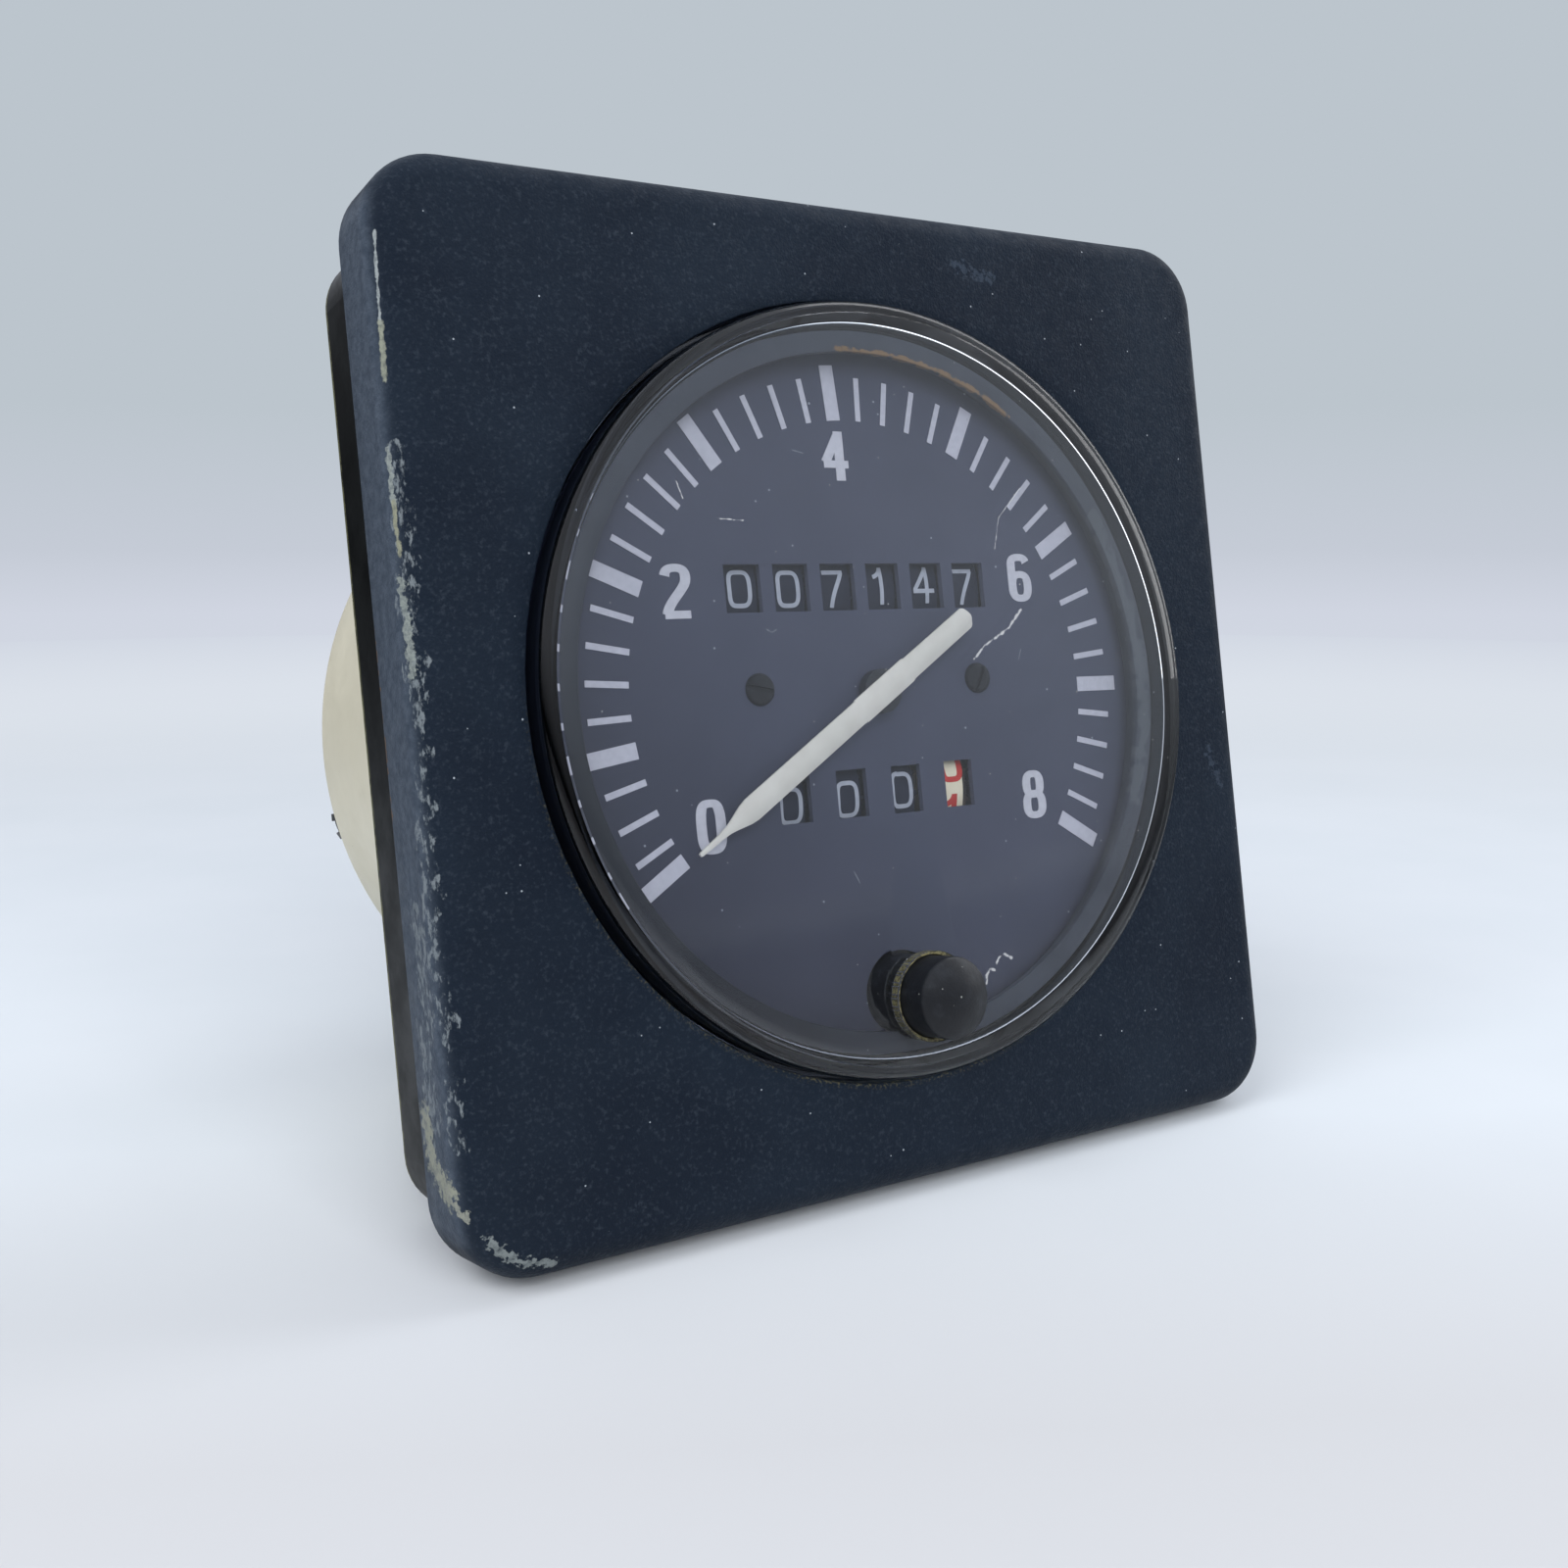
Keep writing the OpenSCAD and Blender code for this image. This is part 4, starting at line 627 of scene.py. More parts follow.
# Scratches and hairlines: each with its width, its ragged edge and its points on the face
for width, ragged, *track in (
    (0.28, 0.14, (17.5, 8.2), (15.5, 6.2), (13.6, 5.1)),
    (0.22, 0.12, (13.6, 5.1), (11.6, 4.2), (9.9, 2.7)),
    (0.24, 0.13, (7.3, -33.8), (7.4, -32.9), (8.0, -32.2), (8.6, -32.5)),
    (0.22, 0.13, (8.9, -32.0), (9.3, -31.2), (10.2, -30.9), (11.2, -31.5)),
    (0.12, 0.06, (-26.5, 22.2), (-25.9, 20.4)),
    (0.12, 0.08, (-22.2, 18.4), (-19.0, 18.2)),
    (0.08, 0.03, (19.0, 22.3), (15.4, 18.8), (14.4, 15.2)),
):
    points = [(x, lens_front, z) for x, z in track]
    scratch = along(tree, place, points, width, ragged, 0.5)
    marked = add(tree, "Math", {0: marked, 1: scratch}, operation="MAXIMUM")
marked = add(tree, "Math", {0: marked, 1: 0.32}, operation="MULTIPLY")
clear_share = add(tree, "Math", {0: 1.0, 1: marked}, operation="SUBTRACT")
tint = mottled(tree, place, 9, "#f6f8fa", "#eef1f2", 0.4, 0.8, 5)
# The rounded edge is tinted blue-grey, most of all on the left: painted shade, for the dark band
# that the edge shows
across, _, high = add(tree, "SeparateXYZ", {0: place}).outputs
flat_place = add(tree, "CombineXYZ", {"X": across, "Z": high})
from_axis = add(tree, "VectorMath", {0: flat_place}, operation="LENGTH")
at_edge = add(tree, "MapRange", {"Value": from_axis, "From Min": 0.0413, "From Max": 0.0418})
leftward_shade = add(
    tree, "MapRange",
    {"Value": across, "From Min": -0.02, "From Max": 0.03, "To Min": 0.9, "To Max": 0.4},
)
film = add(tree, "Math", {0: at_edge, 1: leftward_shade}, operation="MULTIPLY")
tint = add(tree, "Mix", {"Factor": film, "A": tint, "B": linear("#8491ad")}, data_type="RGBA")
polish = add(tree, "Math", {0: marked, 1: 0.6}, operation="MULTIPLY")
glazing = add(
    tree, "BsdfPrincipled",
    {"Base Color": tint, "Roughness": polish, "IOR": 1.49, "Transmission Weight": clear_share},
)
to_lamp = add(tree, "LightPath").outputs["Is Shadow Ray"]
clear = add(tree, "BsdfTransparent", {"Color": linear("#e9ecee")})
acrylic_surface = add(tree, "MixShader", {0: to_lamp, 1: glazing, 2: clear})
add(tree, "OutputMaterial", {"Surface": acrylic_surface})
dress(
    "lens_cap", "lens", "case", acrylic,
    cut(turned_mesh("lens_cap", lens_profile, 240), [drill(5.0, -28, -24, *knob_place)]),
)

# Trim ring: satin dark grey plastic between the dial and the lens, with a lip over the
# dial's rim. A brown stain runs along the lip at its upper right, and it is dusty there.
trim_front, trim_lip, trim_rear = -23.0, -22.2, -20.0
trim_inner, trim_wall, trim_outer = 38.0, 39.3, 40.4
trim_outline = [
    (trim_inner, trim_front), (trim_outer, trim_front), (trim_outer, trim_rear),
    (trim_wall, trim_rear), (trim_wall, trim_lip), (trim_inner, trim_lip),
]
trim_satin, tree, place = start_finish("satin_grey_plastic")
colour = mottled(tree, place, 6, "#2f333e", "#3a3e49")
# Painted shade: the ring is darkened towards its lower left
lower_left = add(tree, "VectorMath", {0: place, 1: (-0.8, 0, -0.6)}, operation="DOT_PRODUCT")
trim_painted_shade = add(
    tree, "MapRange", {"Value": lower_left, "From Min": 0.012, "From Max": 0.036, "To Max": 0.85}
)
dusty = along(
    tree, place, [(33.5, -23, 19.5), (38.5, -23, 6), (38.9, -23, -6), (36, -23, -15)],
    1.8, 0.9, 2.5,
)
dusty = add(tree, "Math", {0: dusty, 1: 0.16}, operation="MULTIPLY")
stain_arc = []
for a in map(math.radians, (-4, 6, 16, 26, 34)):
    stain_arc.append((38.25 * math.sin(a), -22.9, 38.25 * math.cos(a)))
stain = along(tree, place, stain_arc, 0.65, 0.25, 1.2)
for share, code in ((trim_painted_shade, "#191b22"), (dusty, "#7f8487"), (stain, "#7a6044")):
    colour = add(tree, "Mix", {"Factor": share, "A": colour, "B": linear(code)}, data_type="RGBA")
skin(
    tree, colour, patches(tree, place, 6, to=(0.3, 0.42)), patches(tree, place, 0.5), 0.008,
    Specular_IOR_Level=0.3,
)
dress(
    "trim_ring", "dial_trim_ring", "case", trim_satin,
    cut(
        turned_mesh("trim_ring", rounded(trim_outline, 0.15), 240),
        [drill(4.9, -24, -19, *knob_place)],
    ),
)

# Lens seal: a ring moulded in dull black rubber. It is pressed flat between the flange of
# the lens and the front rim of the housing.
seal_inner, seal_outer = 43.3, 45.2
seal_outline = [
    (seal_inner, flange_rear), (seal_outer, flange_rear), (seal_outer, housing_rim),
    (seal_inner, housing_rim),
]
seal_rubber, tree, place = start_finish("moulded_black_rubber")
colour = mottled(tree, place, 1.5, "#15171a", "#1b1d20")
skin(tree, colour, patches(tree, place, 3, to=(0.7, 0.85)), patches(tree, place, 0.3), 0.02)
dress(
    "lens_gasket", "lens_seal", "case", seal_rubber,
    turned_mesh("lens_gasket", rounded(seal_outline, 0.3)),
)


def fine_steps(points, closed, longest=0.35):
    """Adds points so that no step along a stroke is longer than this."""
    ends = points[1:] + points[:1] if closed else points[1:]
    result = []
    for (x0, y0), (x1, y1) in zip(points, ends):
        steps = max(1, math.ceil(math.hypot(x1 - x0, y1 - y0) / longest))
        result += [(x0 + (x1 - x0) * i / steps, y0 + (y1 - y0) * i / steps) for i in range(steps)]
    return result if closed else result + points[-1:]


def loft_strokes(name, strokes, upright, level, low, high, place_point):
    """Solid strokes of a plain numeral: upright and level are the widths of upright and
    level strokes, low and high the heights of their faces, all in millimetres."""
    build = bmesh.new()
    for order, (points, closed) in enumerate(strokes):
        top = high + 0.004 * order
        points = fine_steps(points, closed)
        count = len(points)
        stations = []
        for i, point in enumerate(points):
            before = points[i - 1] if closed or i else point
            after = points[(i + 1) % count] if closed or i < count - 1 else point
            tangent = (Vector(after) - Vector(before)).normalized()
            half = 0.5 * math.hypot(upright * tangent.y, level * tangent.x)
            side = Vector((-tangent.y, tangent.x)) * half
            left, right = Vector(point) + side, Vector(point) - side
            stations.append(
                [
                    build.verts.new(Vector(place_point(p.x, p.y, h)) * mm)
                    for p, h in ((left, low), (left, top), (right, top), (right, low))
                ]
            )
        for i in range(count if closed else count - 1):
            a, b = stations[i], stations[(i + 1) % count]
            for j in range(4):
                k = (j + 1) % 4
                build.faces.new((a[j], a[k], b[k], b[j]))
        if not closed:
            build.faces.new(reversed(stations[0]))
            build.faces.new(stations[-1])
    bmesh.ops.recalc_face_normals(build, faces=build.faces)
    mesh = bpy.data.meshes.new(name)
    build.to_mesh(mesh)
    build.free()
    return mesh


def bend(p0, p1, p2, p3, steps=12):
    """Points of a cubic curve."""
    points = []
    for i in range(steps + 1):
        t = i / steps
        weights = ((1 - t) ** 3, 3 * t * (1 - t) ** 2, 3 * t * t * (1 - t), t**3)
        points.append(
            tuple(sum(w * p[k] for w, p in zip(weights, (p0, p1, p2, p3))) for k in (0, 1))
        )
    return points


def numeral(digit, a, b, square=2.6):
    """Centre lines of a plain numeral within half width a and half height b."""
    if digit == 0:
        return [(arc(0, 0, a, b, 0, 360, square + 0.6, 40)[:-1], True)]
    if digit == 1:
        flag = bend((-0.7 * a, 0.55 * b), (-0.4 * a, 0.6 * b), (0, 0.75 * b), (0.1 * a, b))
        return [([(0.15 * a, -b - 0.3), (0.15 * a, b + 0.3)], False), (flag, False)]
    if digit == 2:
        top = arc(0, b - 0.9 * a, a, 0.9 * a, 170, 0, square)
        fall = bend((a, b - 0.9 * a), (a, b - 1.8 * a), (-0.9 * a, -b + 1.1 * a), (-a, -b))
        return [(top + fall[1:], False), ([(-a - 0.3, -b), (a + 0.3, -b)], False)]
    if digit == 3:
        return [(arc(0, 0.5 * b, a, 0.5 * b, 165, -90, square), False),
                (arc(0, -0.5 * b, a, 0.5 * b, 90, -165, square), False)]
    if digit == 4:
        stem = 0.4 * a
        return [([(stem, -b - 0.3), (stem, b + 0.3)], False),
                ([(stem, b), (-a, -0.32 * b)], False),
                ([(-1.15 * a, -0.38 * b), (1.2 * a, -0.38 * b)], False)]
    if digit == 5:
        return [([(-0.8 * a, b), (a, b)], False),
                ([(-0.8 * a, b + 0.2), (-0.9 * a, 0.05 * b)], False),
                (arc(0, -0.38 * b, a, 0.62 * b, 140, -160, square), False)]
    if digit == 6:
        return [(arc(0, -0.42 * b, a, 0.58 * b, 0, 360, square, 32)[:-1], True),
                ([(-a, -0.42 * b)] + arc(0, b - 0.9 * a, a, 0.9 * a, 180, 20, square), False)]
    if digit == 7:
        leg = bend((a, b), (0.6 * a, 0.3 * b), (-0.1 * a, -0.2 * b), (-0.2 * a, -b - 0.3))
        return [([(-a, b), (a + 0.2, b)], False), (leg, False)]
    if digit == 8:
        return [(arc(0, 0.5 * b, 0.88 * a, 0.5 * b, 0, 360, square, 30)[:-1], True),
                (arc(0, -0.48 * b, a, 0.52 * b, 0, 360, square, 32)[:-1], True)]
    return [([(-x, -y) for x, y in points], closed) for points, closed in numeral(6, a, b, square)]


# Dial plate: a sheet painted slate blue-grey, with pale lilac marks and numerals printed on
# it. A little dust and a few fibres lie on the paint.
dial_front = -20.0
dial_paint, tree, place = start_finish("screen_printed_sheet")
deep = add(tree, "SeparateXYZ", {0: place}).outputs[1]
slate = mottled(tree, place, 30, "#434658", "#484b5d", detail=3)
# Painted shade: the paint is darkened towards the lower left
lower_left = add(tree, "VectorMath", {0: place, 1: (-0.7, 0, -0.7)}, operation="DOT_PRODUCT")
dial_painted_shade = add(
    tree, "MapRange", {"Value": lower_left, "From Min": 0.01, "From Max": 0.038, "To Max": 0.6}
)
slate = add(tree, "Mix", {"Factor": dial_painted_shade, "A": slate, "B": linear("#2a2b36")}, data_type="RGBA")
ink = mottled(tree, place, 0.8, "#bcbac7", "#c6c4d0")
# The marks are raised from the sheet, so depth tells the ink from the paint
printed = add(tree, "Math", {0: deep, 1: (dial_front - 0.03) * mm}, operation="LESS_THAN")
colour = add(tree, "Mix", {"Factor": printed, "A": slate, "B": ink}, data_type="RGBA")
litter = [(specks(tree, place, 2.2, 0.15, 0.35), "#8d929d")]
for track in (
    ((-13.6, 7.6), (-12.9, 7.2), (-12.3, 7.5)), ((-8.0, 27.5), (-6.6, 27.2)),
    ((22, 3), (22.5, 4.2)), ((-5, -20), (-4.4, -21.3)),
):
    points = [(x, dial_front, z) for x, z in track]
    litter.append((along(tree, place, points, 0.12, 0.03, 0.5), "#80858f"))
for share, code in litter:
    colour = add(tree, "Mix", {"Factor": share, "A": colour, "B": linear(code)}, data_type="RGBA")
skin(
    tree, colour, patches(tree, place, 5, to=(0.5, 0.62)), patches(tree, place, 3, detail=2),
    0.0015, Specular_IOR_Level=0.15,
)
coat(dial_paint, "dial_plate")
numeral_ink, tree, place = start_finish("printed_pale_ink")
skin(
    tree, mottled(tree, place, 0.8, "#c0bec9", "#cac8d2"), patches(tree, place, 3, to=(0.48, 0.6)),
    patches(tree, place, 0.2), 0.003, Specular_IOR_Level=0.2,
)
numeral_half_height = 2.5
for digit, half, x, z in (
    (0, 1.2, -22.8, -13.3), (2, 1.25, -24.4, 11.9), (4, 1.42, -2.3, 27.0), (6, 1.2, 23.3, 12.9),
    (8, 1.2, 22.35, -13.5),
):
    name = "scale_numeral_%d" % digit
    print_mesh = loft_strokes(
        name, numeral(digit, half, numeral_half_height), 1.22, 0.85, -0.02, 0.09,
        lambda u, v, h, x=x, z=z: (x + u, dial_front - h, z + v),
    )
    dress(name, None, "case", numeral_ink, print_mesh, 50)

# Counter drums: moulded acetal, with ten digits printed round each rim. The drums are black
# with grey digits; the last drum of the trip counter is cream with red digits, and its gear
# ring and the end of its rim are coloured a dark brown-black.
drum_y = -9.7
drum_r = 9.2
digit_step = 36
digit_half = (1.3, 1.87)


def drum_digits(name, body, x, axis_z, shown, shift, material, upright=0.52, level=0.5):
    """Prints 0 to 9 round a drum, with this digit in front, shifted up by some millimetres."""
    build = bmesh.new()
    for digit in range(10):
        turn = math.asin(shift / drum_r) - math.radians(digit_step * (digit - shown))

        def wrap(u, v, h, turn=turn):
            a = turn + v / drum_r
            return (
                x + u, drum_y - (drum_r + h) * math.cos(a), axis_z + (drum_r + h) * math.sin(a)
            )

        one = loft_strokes(
            "digit", numeral(digit, *digit_half, 3.2), upright, level, -0.03, 0.03, wrap
        )
        build.from_mesh(one)
        bpy.data.meshes.remove(one)
    mesh = bpy.data.meshes.new(name)
    build.to_mesh(mesh)
    build.free()
    dress(name, None, body, material, mesh, 50)


def plain_finish(name, dark, light, roughness, metallic=0.0, spot_mm=1.5, depth_mm=0.006, **values):
    """A material with a soft change of tone and roughness and a fine unevenness."""
    material, tree, place = start_finish(name)
    colour = mottled(tree, place, spot_mm, dark, light, detail=5)
    gloss = patches(tree, place, spot_mm * 2.3, to=(roughness - 0.06, roughness + 0.12))
    skin(
        tree, colour, gloss, patches(tree, place, spot_mm / 4), depth_mm, Metallic=metallic,
        **values,
    )
    return material


grey_ink = plain_finish("printed_grey_ink", "#aaadbb", "#b7bac6", 0.5, 0.0, 0.6, 0.003)
red_ink = plain_finish("printed_red_ink", "#bd2f28", "#cc3b32", 0.5, 0.0, 0.6, 0.003)
drum_black = plain_finish(
    "moulded_black_acetal", "#1e2130", "#272a39", 0.5, Specular_IOR_Level=0.2
)
for counter, axis_z, drums in (
    ("total", 12.1, (
        ("units", 7, 15.36, 12.13), ("tens", 4, 9.35, 12.39), ("hundreds", 1, 3.08, 12.35),
        ("thousands", 7, -3.52, 12.11), ("ten_thousands", 0, -9.60, 12.15),
        ("hundred_thousands", 0, -15.91, 12.24),
    )),
    ("trip", -11.25, (
        ("units", 0, 3.45, -11.34), ("tens", 0, -4.23, -11.88), ("hundreds", 0, -11.88, -12.0),
    )),
):
    for drum, shown, x, z in drums:
        body = "%s_%s" % (counter, drum)
        drum_digits(body + "_digits", body, x, axis_z, shown, z - axis_z, grey_ink)
        coat(drum_black, "%s_drum_%s" % (counter, drum))
# The last drum has stopped between two digits, with its 0 nearly half a step up
tenths_shift = drum_r * math.sin(math.radians(digit_step / 2)) - 0.51
drum_digits(
    "trip_tenths_digits", "trip_tenths", 10.95, axis_z, 0, tenths_shift, red_ink, 0.8, 0.66
)
drum_cream, tree, place = start_finish("moulded_cream_acetal")
across = add(tree, "SeparateXYZ", {0: place}).outputs[0]
cream = mottled(tree, place, 1.5, "#ebdec4", "#f0e5cd", detail=5)
# The end of the rim and the gear ring, right of x = 12.45 mm, are coloured dark brown-black
dark_ring_tone = mottled(tree, place, 0.6, "#1d1a19", "#4c4034", 0.45, 0.65)
on_ring = add(tree, "Math", {0: across, 1: 0.01245}, operation="GREATER_THAN")
colour = add(tree, "Mix", {"Factor": on_ring, "A": cream, "B": dark_ring_tone}, data_type="RGBA")
skin(tree, colour, patches(tree, place, 3, to=(0.42, 0.56)), patches(tree, place, 0.4), 0.006)
coat(drum_cream, "trip_drum_tenths")


def copies(name, part, places, turns, material):
    """Places copies of a mesh with Geometry Nodes and returns the joined mesh."""
    cloud = bpy.data.meshes.new(name + "_places")
    cloud.from_pydata([Vector(p) * mm for p in places], [], [])
    turn_data = cloud.attributes.new("turn", "FLOAT_VECTOR", "POINT")
    for i, turn in enumerate(turns):
        turn_data.data[i].vector = turn
    host = bpy.data.objects.new(name + "_host", cloud)
    source = bpy.data.objects.new(name + "_source", part)
    for item in (host, source):
        bpy.context.scene.collection.objects.link(item)
    group = bpy.data.node_groups.new(name + "_copies", "GeometryNodeTree")
    sockets = {}
    for label, kind, way in (
        ("Places", "Geometry", "INPUT"), ("Part", "Object", "INPUT"),
        ("Finish", "Material", "INPUT"), ("Size", "Float", "INPUT"),
        ("Copies", "Geometry", "OUTPUT"),
    ):
        sockets[label] = group.interface.new_socket(
            label, in_out=way, socket_type="NodeSocket" + kind
        )
    given = add(group, "NodeGroupInput").outputs
    part_info = add(group, "GeometryNodeObjectInfo", {"Object": given["Part"]})
    turn_read = add(
        group, "GeometryNodeInputNamedAttribute", {"Name": "turn"}, data_type="FLOAT_VECTOR"
    )
    to_turn = add(group, "FunctionNodeEulerToRotation", {0: turn_read.outputs[0]})
    instances = add(
        group, "GeometryNodeInstanceOnPoints",
        {"Points": given["Places"], "Instance": part_info.outputs["Geometry"],
         "Rotation": to_turn.outputs[0], "Scale": given["Size"]},
    )
    real = add(group, "GeometryNodeRealizeInstances", {"Geometry": instances.outputs[0]})
    done = add(
        group, "GeometryNodeSetMaterial",
        {"Geometry": real.outputs[0], "Material": given["Finish"]},
    )
    add(group, "NodeGroupOutput", {"Copies": done.outputs[0]})
    modifier = host.modifiers.new("copies", "NODES")
    modifier.node_group = group
    for label, value in (("Part", source), ("Finish", material), ("Size", 1.0)):
        modifier[sockets[label].identifier] = value
    graph = bpy.context.evaluated_depsgraph_get()
    mesh = bpy.data.meshes.new_from_object(host.evaluated_get(graph))
    for item in (host, source):
        bpy.data.objects.remove(item)
    bpy.data.node_groups.remove(group)
    mesh.name = name
    return mesh


def box_mesh(name, centre, size):
    """A box by its centre and sizes, in millimetres."""
    mesh = bpy.data.meshes.new(name)
    build = bmesh.new()
    bmesh.ops.create_cube(build, size=mm)
    build.transform(Matrix.Translation(Vector(centre) * mm) @ Matrix.Diagonal((*size, 1)))
    build.to_mesh(mesh)
    build.free()
    return mesh


# Dial screws: two small cheese heads, turned in blackened steel, each with a worn slot. They
# hold the dial plate on its pillars.
screw_dark = plain_finish(
    "blackened_steel", "#131418", "#202127", 0.45, 0.0, 0.6, 0.008, Specular_IOR_Level=0.3
)
screw_head = cut(
    turned_mesh(
        "screw_head",
        [(0, -0.72), (0.9, -0.7), (1.45, -0.58), (1.72, -0.36), (1.8, -0.1), (1.8, 0), (0, 0)], 64,
    ),
    [box_mesh("slot", (0, -0.7, 0), (6, 0.8, 0.5))],
)
dress(
    "dial_screw_heads", "dial_screws", "case", screw_dark,
    copies(
        "dial_screw_heads", screw_head, [(x, dial_front, 1) for x in (-15.2, 15.2)],
        [(0, math.radians(turn), 0) for turn in (12, -62)], screw_dark,
    ),
    40,
)

# Pointer: pressed sheet painted off-white, with a ridge along its middle and a wider plate
# at the hub. It is full width for most of its length and then drawn to a needle.
pointer_white = plain_finish("off_white_enamel", "#d6d0c9", "#ded9d2", 0.45, 0.0, 2.5)
pointer_turn = math.radians(-122.2)
pointer_back, rim_rise, ridge_rise, needle_start = -22.0, 0.28, 0.66, 22.3
pointer_stations = (
    (-15.35, 0.75), (-15.15, 1.1), (-14.8, 1.32), (-4.2, 1.35), (-4.15, 1.48), (4.15, 1.48),
    (4.2, 1.35), (22.2, 1.35), (23.2, 1.2), (24.2, 0.9), (25.0, 0.66), (25.8, 0.46), (27, 0.34),
    (30.0, 0.24), (30.2, 0.16),
)
sections = []
for out, half in pointer_stations:
    ridge = ridge_rise - 0.34 * min(1.0, max(0.0, out - needle_start) / 4)
    shoulder = rim_rise + (ridge - rim_rise) * 0.72
    sections.append(
        [
            (
                out * math.sin(pointer_turn) + u * math.cos(pointer_turn), pointer_back - h,
                out * math.cos(pointer_turn) - u * math.sin(pointer_turn),
            )
            for u, h in (
                (-half, 0.0), (-half, rim_rise), (-half * 0.5, shoulder), (0, ridge),
                (half * 0.5, shoulder), (half, rim_rise), (half, 0.0),
            )
        ]
    )
dress(
    "pointer_blade", "pointer", "pointer", pointer_white,
    ring_mesh("pointer_blade", sections, closed=False), 24,
)

# Reset knob: a matt black plastic moulding with a low dome, dusty in its rim. It sits on the
# front of the reset rod and slides in the hole of the lens.
knob_black, tree, place = start_finish("matt_black_plastic")
colour = mottled(tree, place, 1.6, "#101216", "#1d2025", 0.45, 0.8, 5)
dust = specks(tree, place, 1.1, 0.12, 0.4)
colour = add(tree, "Mix", {"Factor": dust, "A": colour, "B": linear("#777a78")}, data_type="RGBA")
skin(
    tree, colour, patches(tree, place, 2, to=(0.38, 0.5)), patches(tree, place, 0.3), 0.01,
    Specular_IOR_Level=0.35,
)
knob_front, knob_rear, knob_r, dome_edge, dome_rise = -32.0, -17.1, 4.5, 4.2, 1.15
dome_r = (dome_edge**2 + dome_rise**2) / (2 * dome_rise)
knob_profile = [(0, knob_front)]
for i in range(1, 9):
    r = dome_edge * i / 8
    knob_profile.append((r, knob_front + dome_r - math.sqrt(dome_r**2 - r * r)))
knob_profile += [
    (4.38, -30.72), (4.47, -30.55), (knob_r, -30.3), (knob_r, knob_rear - 0.2),
    (knob_r - 0.2, knob_rear), (0, knob_rear),
]
dress(
    "reset_button_knob", "reset_knob", "reset_button", knob_black,
    turned_mesh("reset_button_knob", knob_profile, 96, knob_place),
)

# Knob seal: a ring of aged olive rubber, fitted in the hole of the lens round the knob and
# speckled with dirt.
seal_olive, tree, place = start_finish("aged_olive_seal")
dirt = patches(tree, place, 0.35, 0.4, 0.6)
colour = add(
    tree, "Mix", {"Factor": dirt, "A": linear("#37352a"), "B": linear("#7f7957")}, data_type="RGBA"
)
skin(tree, colour, patches(tree, place, 1, to=(0.5, 0.7)), dirt, 0.04)
gasket_outline = [(4.6, -26.9), (5, -26.9), (5, lens_back), (4.6, lens_back)]
dress(
    "knob_gasket", "knob_seal", "case", seal_olive,
    turned_mesh("knob_gasket", rounded(gasket_outline, 0.12), 96, knob_place),
)

# Return spring: five turns of bright steel wire round the reset rod. Its front end sits on
# the knob and its rear end on the counter frame. On the instrument it shortens as the knob is
# pushed; here it is one rigid piece that moves with the knob.
spring_r, wire_r, spring_turns, turn_steps = 2.9, 0.3, 5, 24
spring_low, spring_high = (corner[1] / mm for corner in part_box("reset_spring"))
spring_front, spring_rear = spring_low + wire_r, spring_high - wire_r
spring_rings = []
for i in range(spring_turns * turn_steps + 1):
    a = 2 * math.pi * i / turn_steps
    middle = spring_front + (spring_rear - spring_front) * i / (spring_turns * turn_steps)
    wire_ring = []
    for j in range(8):
        b = math.pi * j / 4
        r = spring_r + wire_r * math.cos(b)
        wire_ring.append(
            (r * math.cos(a), middle + wire_r * math.sin(b), knob_place[1] + r * math.sin(a))
        )
    spring_rings.append(wire_ring)
drawn_wire = plain_finish("drawn_spring_wire", "#8f9194", "#a9abad", 0.26, 1.0, 0.8)
return_spring = dress(
    "return_spring", "reset_spring", "reset_button", drawn_wire,
    ring_mesh("return_spring", spring_rings, closed=False), 50,
)
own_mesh(return_spring)

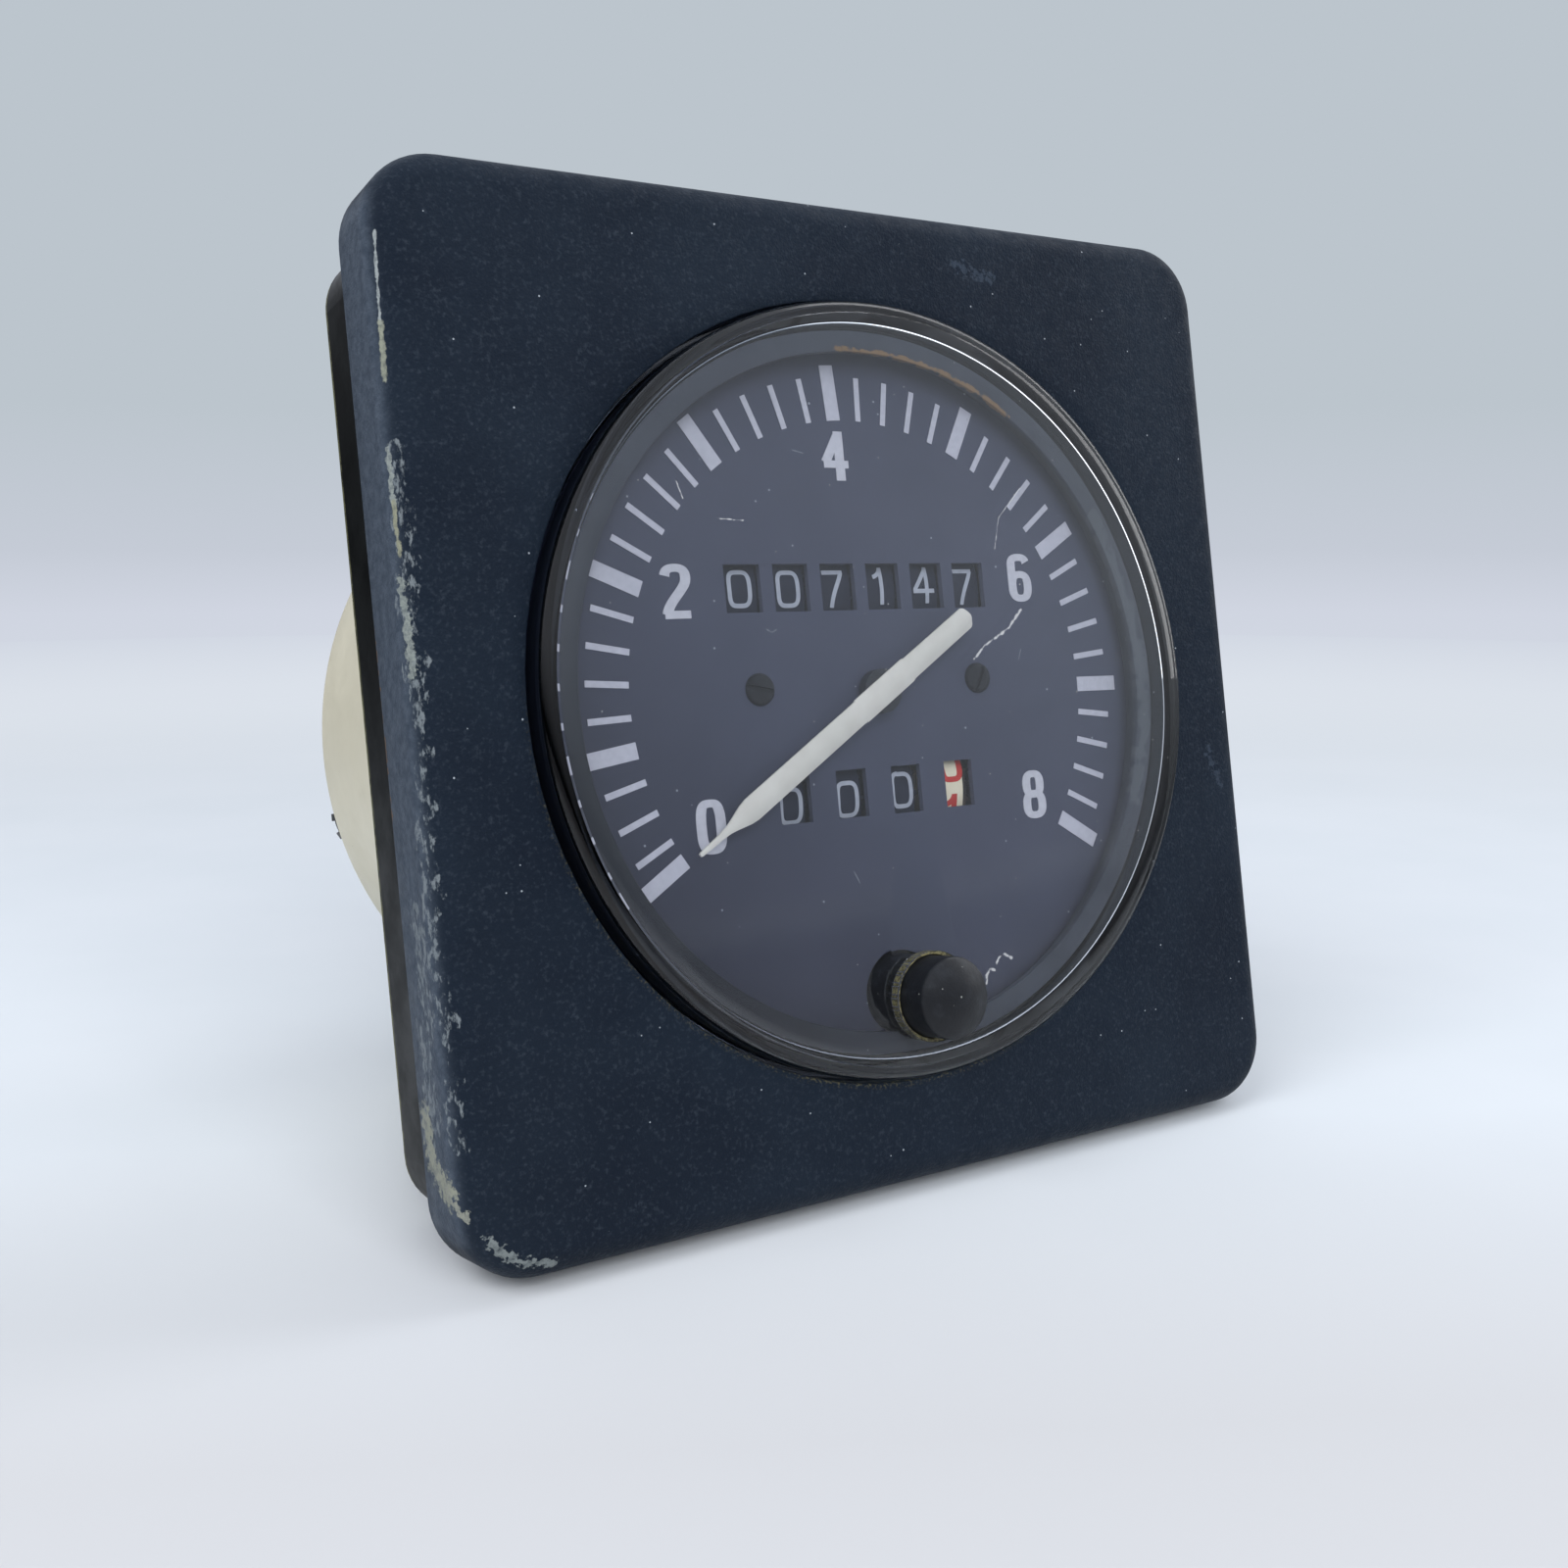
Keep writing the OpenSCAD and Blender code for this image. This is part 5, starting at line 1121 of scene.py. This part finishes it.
# Inner and rear pieces keep their built shape: turned and pressed metals, waxy nylon and
# acetal, copper wire and laminate. Each row has a finish, its two tones, its nodes and its
# roughness, and may add its metal share, spot size and unevenness.
for finish, dark, light, nodes, *values in (
    ("turned_aluminium", "#9fa3a6", "#b7babc", "dial_pillars board_posts", 0.3, 1.0),
    ("moulded_grey_plastic", "#1e2026", "#282a31", "pointer_hub", 0.5),
    ("ground_bright_steel", "#9b9da0", "#b4b6b8",
     "pointer_spindle counter_shafts pinion_shafts reset_rod lever_shaft", 0.22, 1.0, 0.8),
    ("sintered_magnet", "#43464a", "#5b5e62", "magnet_rotor", 0.5, 0.6, 0.7, 0.02),
    ("turned_brass", "#a8853a", "#bf9b4c", "spindle_bearings drive_pinion", 0.28, 1.0),
    ("natural_nylon", "#d5d1c2", "#e2dfd2", "bobbin_front bobbin_rear", 0.45),
    ("enamelled_copper_wire", "#8a4a24", "#a9622f", "inner_coil outer_coil", 0.3, 0.8, 0.3, 0.03),
    ("zinc_plated_steel", "#8f9496", "#a9adae",
     "shield_can counter_frame gear_plate rear_screws", 0.34, 1.0, 2.0),
    ("natural_acetal", "#c9c6b8", "#dbd8cc",
     "total_pinion_1 total_pinion_2 total_pinion_3 total_pinion_4 total_pinion_5 "
     "trip_pinion_1 trip_pinion_2 trip_pinion_3 idler_gear total_drive_gear", 0.4),
    ("drawn_motor_steel", "#7f8487", "#999d9f", "counter_motor", 0.36, 1.0, 2.5),
    ("passivated_steel", "#a39a6f", "#b9b48f", "reset_lever mounting_studs", 0.35, 0.9, 1.2),
    ("green_glass_laminate", "#23482f", "#2f5a3b", "circuit_board", 0.4, 0.0, 1.0),
    ("moulded_component", "#202226", "#2c2f34", "board_parts", 0.5),
    ("black_holder_plastic", "#131415", "#1f2122", "lamp_holders terminal_block", 0.42),
    ("tinned_brass", "#a6a596", "#bdbcae", "blade_terminals", 0.3, 1.0, 1.2),
):
    coat(plain_finish(finish, dark, light, *values), *nodes.split())
bulb_glass, tree, place = start_finish("clear_bulb_glass")
colour = mottled(tree, place, 2, "#e8ecee", "#f4f6f6")
skin(tree, colour, 0.03, patches(tree, place, 1), 0.002, Transmission_Weight=0.9)
coat(bulb_glass, "bulbs")
